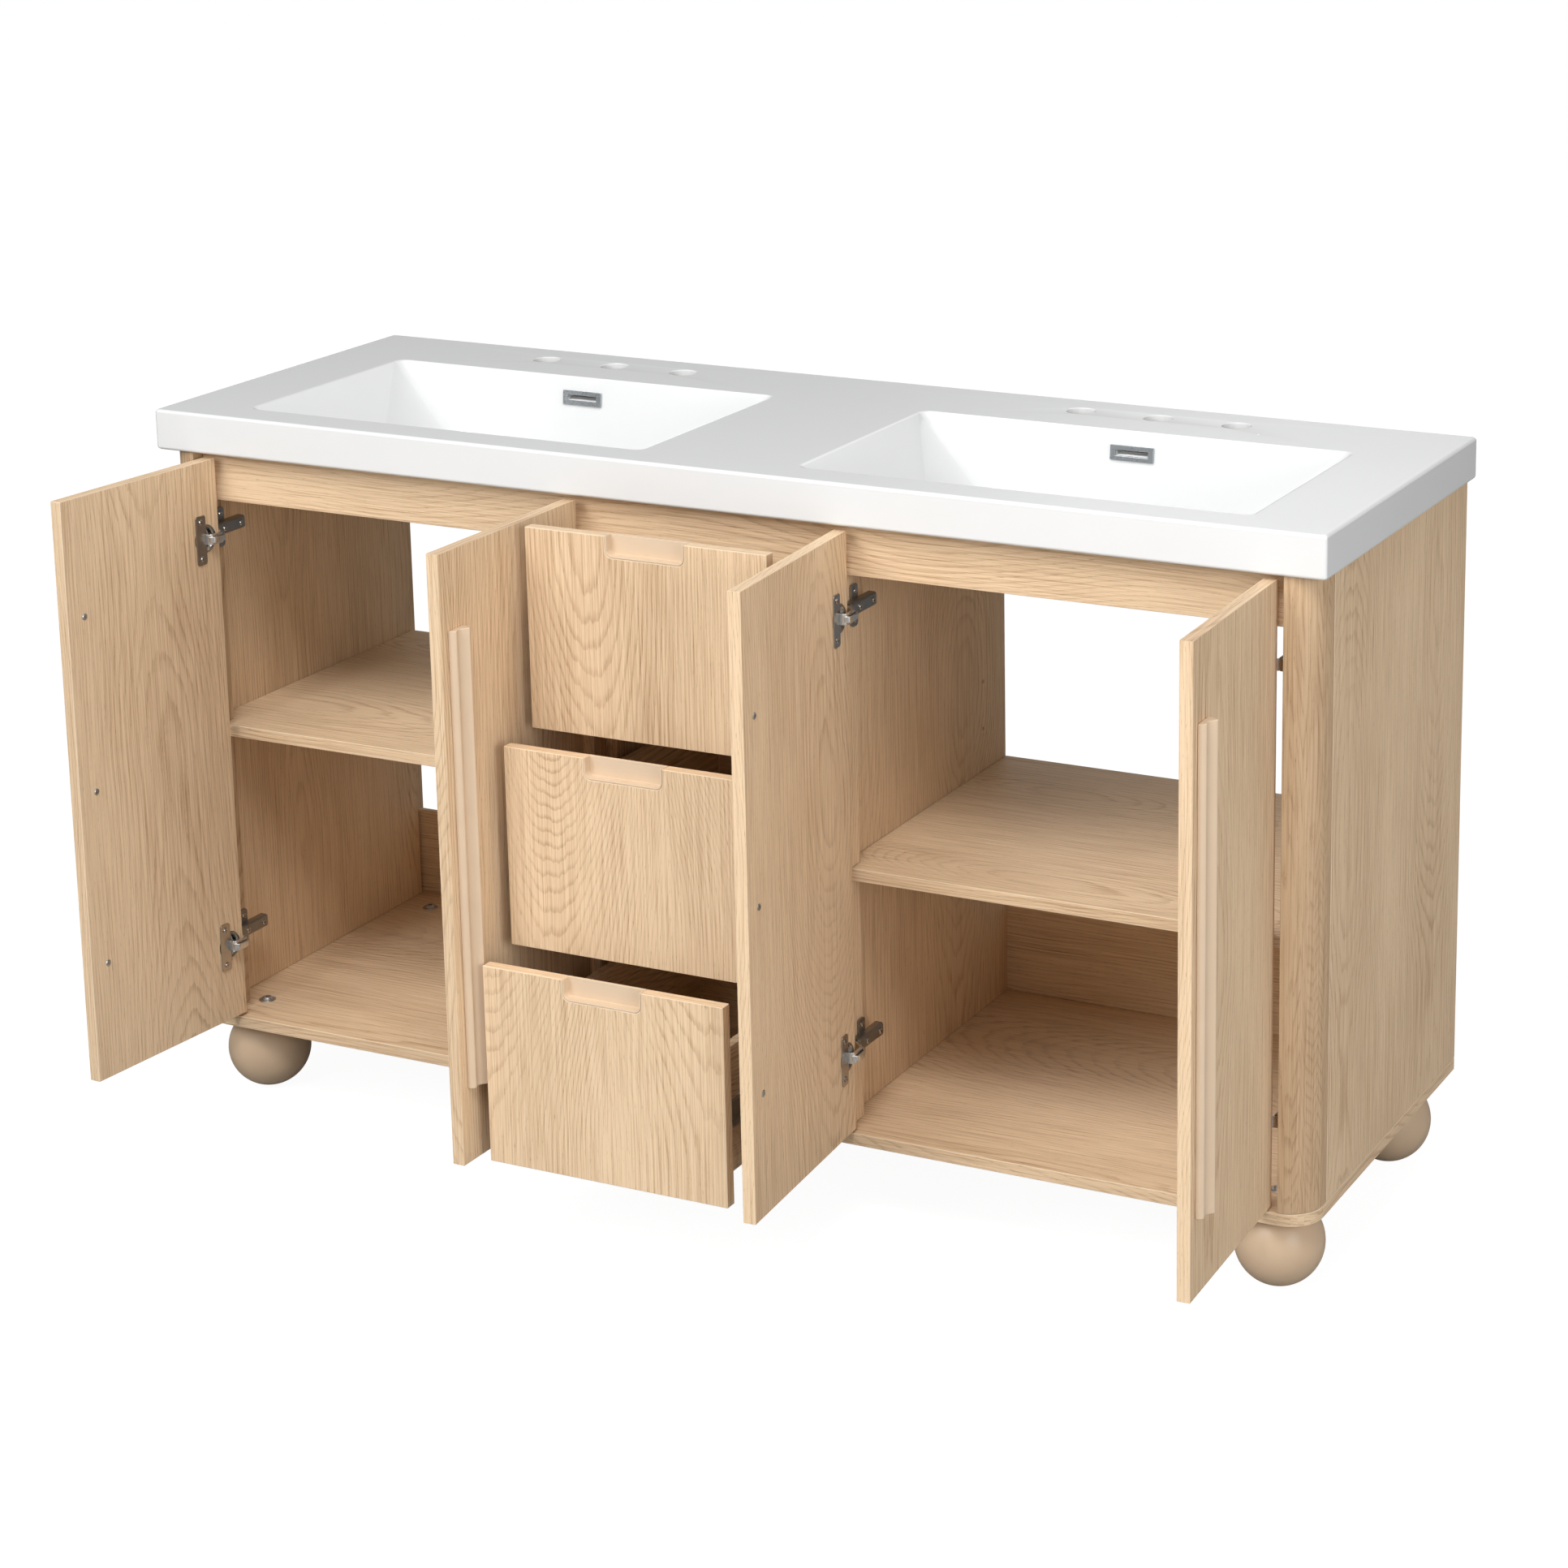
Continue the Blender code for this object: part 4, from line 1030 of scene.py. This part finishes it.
class VANITY_OT_hinges(bpy.types.Operator):
    """Makes the cup hinges: cups and wing plates on the doors, arms on the carcass, and their links"""
    bl_idname = "vanity.hinges"
    bl_label = "Cup Hinges"

    def execute(self, context):
        hinge = sizes("vanity_hinge")
        cabinet_screws = []
        for number in DOORS:
            leaf = Leaf(number)
            door_screws, links = [], []
            for word in LEVELS:
                door_screws += self.fit_cup(hinge, leaf, word)
                cabinet_screws += self.fit_arm(hinge, leaf, word)
                links += self.links(leaf, word)
            name = f"{leaf.name}_hinge_screws"
            mesh = screws(name, door_screws, hinge.screw, 1.3 * MM, SCREW_RECESS, "nickel")
            leaf.place(name, mesh, None, "nickel_plated_steel")
            self.fit_links(leaf, joined("links", links))
        mesh = screws("arm_screws", cabinet_screws, hinge.screw, 1.5 * MM, SCREW_RECESS, "nickel")
        finished("hinge_arm_screws", mesh, CABINET, None, "nickel_plated_steel")
        return {"FINISHED"}

    def cup_centre(self, leaf, word):
        low, high = leaf.closed_box(f"hinge_cup_{leaf.number}_{word}")
        edge = low.x if leaf.reach > 0 else high.x
        return Vector((edge + leaf.reach * CUP_RADIUS, leaf.face, (low.z + high.z) / 2))

    def wall(self, leaf, node):
        """Where the arm meets its wall, and its box."""
        low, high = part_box(node)
        return (low.x if leaf.reach > 0 else high.x), low, high

    def fit_cup(self, hinge, leaf, word):
        node = f"hinge_cup_{leaf.number}_{word}"
        low, high = leaf.closed_box(node)
        centre = self.cup_centre(leaf, word)
        cup = turned("cup", [(r * MM, h * MM) for r, h in CUP_SECTION], centre, axis="Y", steps=40)
        x0, x1 = sorted((centre.x, centre.x + leaf.reach * WING_REACH))
        outline = outline_rectangle(x0, x1, low.z, high.z, hinge.plate_radius, 6)
        plate = prism("wings", outline, "Y", leaf.face + WING_LIFT, high.y)
        mesh = joined(node, [cup, rounded(plate, 0.35 * MM, 2)])
        leaf.place(f"{node}_plated", mesh, "nickel", "nickel_plated_steel", [node])
        return [(Vector(((x0 + x1) / 2, high.y, z)), (0, 1, 0))
                for z in (low.z + SCREW_INSET, high.z - SCREW_INSET)]

    def fit_arm(self, hinge, leaf, word):
        """The plate on the wall and the arm over it, with two ribs inside the arm."""
        node = f"hinge_arm_{leaf.number}_{word}"
        wall, low, high = self.wall(leaf, node)
        rise, middle = high.x - low.x, (low.z + high.z) / 2
        back = low.y + PLATE_BACK

        def off_wall(distance):
            return wall + leaf.reach * distance

        outline = outline_rectangle(back - PLATE_WIDTH, back, low.z, high.z, hinge.plate_radius, 6)
        plate = prism("plate", outline, "X", *sorted((wall, off_wall(PLATE_RISE))))
        outside = [(ARM_FOOT, ARM_HALF), (rise - ARM_BEND, ARM_HALF), (rise, ARM_HALF - ARM_BEND)]
        inside = [(ARM_FOOT, ARM_HALF - ARM_SKIN), (rise - ARM_INNER_BEND, ARM_HALF - ARM_SKIN),
                  (rise - ARM_SKIN, ARM_HALF - ARM_INNER_BEND)]
        section = ([(u, -v) for u, v in outside] + outside[::-1] + inside
                   + [(u, -v) for u, v in inside[::-1]])
        shapes = [plate, prism("arm", [(off_wall(u), middle + v) for u, v in section], "Y", low.y, high.y)]
        start, end = sorted((off_wall(ARM_FOOT), off_wall(rise - ARM_SKIN / 2)))
        half = ARM_HALF - ARM_SKIN / 2
        for y in (low.y + ARM_SCREWS[0], high.y - SCREW_INSET):
            shapes.append(box_mesh("rib", (start, y - RIB_HALF, middle - half),
                                   (end, y + RIB_HALF, middle + half)))
        mesh = joined(node, [rounded(shape, 0.4 * MM, 2) for shape in shapes])
        finished(f"{node}_plated", mesh, CABINET, "dark_nickel", "nickel_plated_steel", [node])
        places = [(off_wall(PLATE_RISE), back - PLATE_WIDTH / 2, z)
                  for z in (low.z + SCREW_INSET, high.z - SCREW_INSET)]
        places += [(off_wall(rise), low.y + distance, middle) for distance in ARM_SCREWS]
        return [(Vector(place), (leaf.reach, 0, 0)) for place in places]

    def links(self, leaf, word):
        """Two straps out of the cup, past the door's edge and into the arm, as the door stands open."""
        wall, low, high = self.wall(leaf, f"hinge_arm_{leaf.number}_{word}")
        middle = (low.z + high.z) / 2
        cup = self.cup_centre(leaf, word)
        made = []
        for half, thick, lift, depth in LINKS:
            floor, mouth, past = [leaf.opened @ (cup + Vector((leaf.reach * along, out, 0)))
                                  for along, out in ((0, LINK_FLOOR), (0, lift), (LINK_PAST_EDGE, lift))]
            knuckle = Vector((wall + leaf.reach * depth, low.y + LINK_KNUCKLE, middle))
            end = Vector((wall + leaf.reach * LINK_END[0], low.y + LINK_END[1], middle))
            line = [floor] + rounding(floor.lerp(mouth, 0.6), mouth, mouth.lerp(past, 0.3), 5)
            line += rounding(mouth.lerp(past, 0.75), past, past.lerp(knuckle, 0.4), 3)
            line += rounding(past.lerp(knuckle, 0.7), knuckle, knuckle.lerp(end, 0.3), 3) + [end]
            made.append(self.strap(line, half, thick))
        return made

    def strap(self, line, half, thick):
        """A flat strap that follows a level line."""
        bm = bmesh.new()
        rings = []
        for i, point in enumerate(line):
            ahead = line[min(i + 1, len(line) - 1)] - line[max(i - 1, 0)]
            side = Vector((ahead.y, -ahead.x, 0)).normalized() * (thick / 2)
            rings.append([bm.verts.new(point + side * a + UP * half * b)
                          for a, b in ((-1, -1), (1, -1), (1, 1), (-1, 1))])
        bridge(bm, *rings)
        bm.faces.new(rings[0])
        bm.faces.new(rings[-1])
        return rounded(mesh_from(bm, "strap"), 0.5 * MM, 2, 50)

    def fit_links(self, leaf, mesh):
        """The links as one piece that rides on neither the cabinet nor the door, in their shape for the open
        door.
        """
        made = finished(f"hinge_links_{leaf.number}", mesh, None, "bright_nickel", "nickel_plated_steel")
        cup = leaf.opened @ self.cup_centre(leaf, "upper")
        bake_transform(made)


class VANITY_OT_fittings(bpy.types.Operator):
    """Sets the handle screws, the foot bolts and the shelf pins"""
    bl_idname = "vanity.fittings"
    bl_label = "Screws, Bolts and Pins"

    def execute(self, context):
        hinge = sizes("vanity_hinge")
        for number in DOORS:
            leaf = Leaf(number)
            low, high = leaf.closed_box(f"door_handle_{number}")
            x, _, middle = (low + high) / 2
            places = [(Vector((x, leaf.face, middle + step * hinge.handle_screw_step)), (0, 1, 0))
                      for step in (-1, 0, 1)]
            name = f"{leaf.name}_handle_screws"
            mesh = screws(name, places, hinge.handle_screw, 1.2 * MM, SCREW_RECESS, "zinc")
            leaf.place(name, mesh, None, "zinc_plated_steel")
        self.set_bolts(hinge)
        self.set_pins(sizes("vanity_board"))
        return {"FINISHED"}

    def set_bolts(self, hinge):
        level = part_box("base_board")[1].z
        radius, inner = hinge.washer / 2, hinge.bolt / 2 - 2 * MM
        profile = [(inner, WASHER_LIFT), (radius, WASHER_LIFT), (radius, WASHER_THICK * 0.6),
                   (radius - 0.5 * MM, WASHER_THICK), (inner, WASHER_THICK), (inner, WASHER_LIFT)]
        places, washers = [], []
        for node in FEET:
            low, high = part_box(node)
            centre = Vector(((low.x + high.x) / 2, (low.y + high.y) / 2, level))
            washers.append(turned("washer", profile, centre, steps=40))
            places.append((centre + UP * WASHER_THICK, (0, 0, 1)))
        heads = screws("bolts", places, hinge.bolt, 3.2 * MM, 0.45, "zinc")
        finished("foot_bolts", joined("bolts", [heads] + washers), CABINET, "zinc", "zinc_plated_steel")

    def set_pins(self, board):
        radius = board.pin_hole / 2 - PIN_PLAY
        pins = []
        for word in SIDES:
            for place, facing in pin_places(board, *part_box(f"shelf_{word}")):
                start, end = sorted((place.x - facing * 0.4 * MM, place.x + facing * PIN_LENGTH))
                circle = outline_circle((place.y, place.z - radius), radius, 20)
                pins.append(rounded(prism("pin", circle, "X", start, end), 0.4 * MM, 2))
        finished("shelf_pins", joined("pins", pins), CABINET, "zinc", "zinc_plated_steel")


class VANITY_OT_drawers(bpy.types.Operator):
    """Finishes the drawers, their finger pulls and their runners"""
    bl_idname = "vanity.drawers"
    bl_label = "Drawers"

    def execute(self, context):
        board = sizes("vanity_board")
        for number in DRAWERS:
            body = f"drawer_{number}_body"
            for part, level in (("front", (1, 0, 0)), ("box", (0, 1, 0))):
                node = f"drawer_{number}_{part}"
                mesh = rounded(merged_copy(node), board.edge)
                map_grain(mesh, node, part == "front", level)
                finished(f"{node}_laminated", mesh, body, "oak", "oak_laminate", [node])
            node = f"drawer_{number}_pull"
            mesh = rounded(merged_copy(node), 0.5 * MM)
            finished(f"{node}_painted", mesh, body, "trim", "beige_paint", [node])
            for word, side in SIDES.items():
                self.fit_runner(number, word, side, body)
        return {"FINISHED"}

    def fit_runner(self, number, word, side, body):
        """The member that rides in the slide's channel: a shallow tray fixed to the drawer's side."""
        node = f"drawer_{number}_slide_{word}"
        surfaces = frame["nodes"][node].data.materials
        surfaces.clear()
        surfaces.append(finishes["zinc"].material)
        low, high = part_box(node)
        box_low, box_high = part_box(f"drawer_{number}_box")
        outer = (box_high.x if side > 0 else box_low.x) + side * RUNNER_GAP
        lip = (low.x if side > 0 else high.x) + side * RUNNER_DEPTH
        half, skin, waist = RUNNER_HALF, RUNNER_SKIN, RUNNER_WAIST
        section = [(outer, waist - half), (outer, half - waist), (lip, half), (lip, half - skin),
                   (outer + side * skin, half - waist - MM), (outer + side * skin, waist + MM - half),
                   (lip, skin - half), (lip, -half)]
        outline = [(x, (low.z + high.z) / 2 + z) for x, z in section]
        mesh = prism("runner", outline, "Y", box_low.y + RUNNER_FRONT, box_high.y - RUNNER_BACK)
        name = f"drawer_{number}_runner_{word}"
        finished(name, rounded(mesh, 0.3 * MM, 2), body, "zinc", "zinc_plated_steel")


# Each light's place, the point it is turned to, and its diameter
LIGHTS = {
    "key": ((-1.95, -5.7, 4.4), (0.0, 0.0, 0.45), 3.6),
    "fill": ((3.9, -2.2, 1.5), (0.2, 0.0, 0.45), 2.2),
    "overhead": ((0.9, -2.5, 4.3), (0.1, 0.0, 0.6), 1.8),
    "back": ((-1.0, 4.6, 3.0), (0.0, 0.0, 0.5), 2.4),
}
FLOOR_REACH = 40.0
FLOOR_HEIGHTS = (-0.05, -0.0002)


class VANITY_OT_stage(bpy.types.Operator):
    """Sets the floor, the lights and the camera"""
    bl_idname = "vanity.stage"
    bl_label = "Stage"

    def execute(self, context):
        stage = sizes("vanity_stage")
        floor = box_mesh("floor", (-FLOOR_REACH, -FLOOR_REACH, FLOOR_HEIGHTS[0]),
                         (FLOOR_REACH, FLOOR_REACH, FLOOR_HEIGHTS[1]))
        pale = Finish("pale_floor")
        seen = pale.node("ShaderNodeLightPath", output="Is Camera Ray")
        white = rgb((1, 1, 1))
        pale.set(Base_Color=pale.mixed(seen, rgb(stage.floor), rgb((0.1, 0.1, 0.1))), Roughness=0.9,
                 Emission_Color=pale.mixed(seen, rgb((0, 0, 0)), white), Emission_Strength=0.95)
        floor.materials.append(pale.material)
        new_object("floor", floor)
        world = bpy.data.worlds.new("studio")
        world.use_nodes = True
        air = Graph(world.node_tree)
        seen = air.node("ShaderNodeLightPath", output="Is Camera Ray")
        backdrop = world.node_tree.nodes["Background"]
        air.feed(backdrop.inputs["Color"], white)
        air.feed(backdrop.inputs["Strength"], seen * (1 - stage.sky) + stage.sky)
        context.scene.world = world
        for name, (place, aim, size) in LIGHTS.items():
            lamp = bpy.data.lights.new(name, "AREA")
            lamp.shape = "DISK"
            lamp.size = size
            lamp.energy = getattr(stage, name)
            hung = new_object(name, lamp)
            hung.location = place
            hung.rotation_euler = (Vector(aim) - Vector(place)).to_track_quat("-Z", "Y").to_euler()
        self.set_camera(context, stage)
        context.scene.view_settings.view_transform = "Standard"
        return {"FINISHED"}

    def set_camera(self, context, stage):
        data = bpy.data.cameras.new("camera")
        data.lens = stage.lens
        data.sensor_width = 36.0
        data.shift_x, data.shift_y = stage.shift
        data.clip_end = 200.0
        camera = new_object("camera", data)
        camera.location = stage.place
        turn = Matrix.Rotation(stage.heading, 4, "Z") @ Matrix.Rotation(math.radians(90) - stage.dip, 4, "X")
        camera.rotation_euler = (turn @ Matrix.Rotation(stage.roll, 4, "Z")).to_euler()
        context.scene.camera = camera


class VANITY_PT_panel(bpy.types.Panel):
    """Lists the vanity's operators"""
    bl_idname = "VANITY_PT_panel"
    bl_label = "Double Basin Vanity"
    bl_space_type = "VIEW_3D"
    bl_region_type = "UI"
    bl_category = "Vanity"

    def draw(self, context):
        for operator in OPERATORS:
            self.layout.operator(operator.bl_idname)


OPERATORS = (
    VANITY_OT_finishes,
    VANITY_OT_stage,
    VANITY_OT_top,
    VANITY_OT_overflows,
    VANITY_OT_boards,
    VANITY_OT_feet,
    VANITY_OT_doors,
    VANITY_OT_hinges,
    VANITY_OT_drawers,
    VANITY_OT_fittings,
)
GROUPS = {
    "vanity_top": TopSizes,
    "vanity_board": BoardSizes,
    "vanity_hinge": HingeSizes,
    "vanity_stage": StageSizes,
}


def register():
    for name, group in GROUPS.items():
        bpy.utils.register_class(group)
        setattr(bpy.types.Scene, name, bpy.props.PointerProperty(type=group))
    for made in (*OPERATORS, VANITY_PT_panel):
        bpy.utils.register_class(made)


def unregister():
    for made in (*OPERATORS, VANITY_PT_panel):
        bpy.utils.unregister_class(made)
    for name, group in GROUPS.items():
        delattr(bpy.types.Scene, name)
        bpy.utils.unregister_class(group)


def main():
    register()
    for operator in OPERATORS:
        category, name = operator.bl_idname.split(".")
        getattr(getattr(bpy.ops, category), name)()


if __name__ == "__main__":
    main()
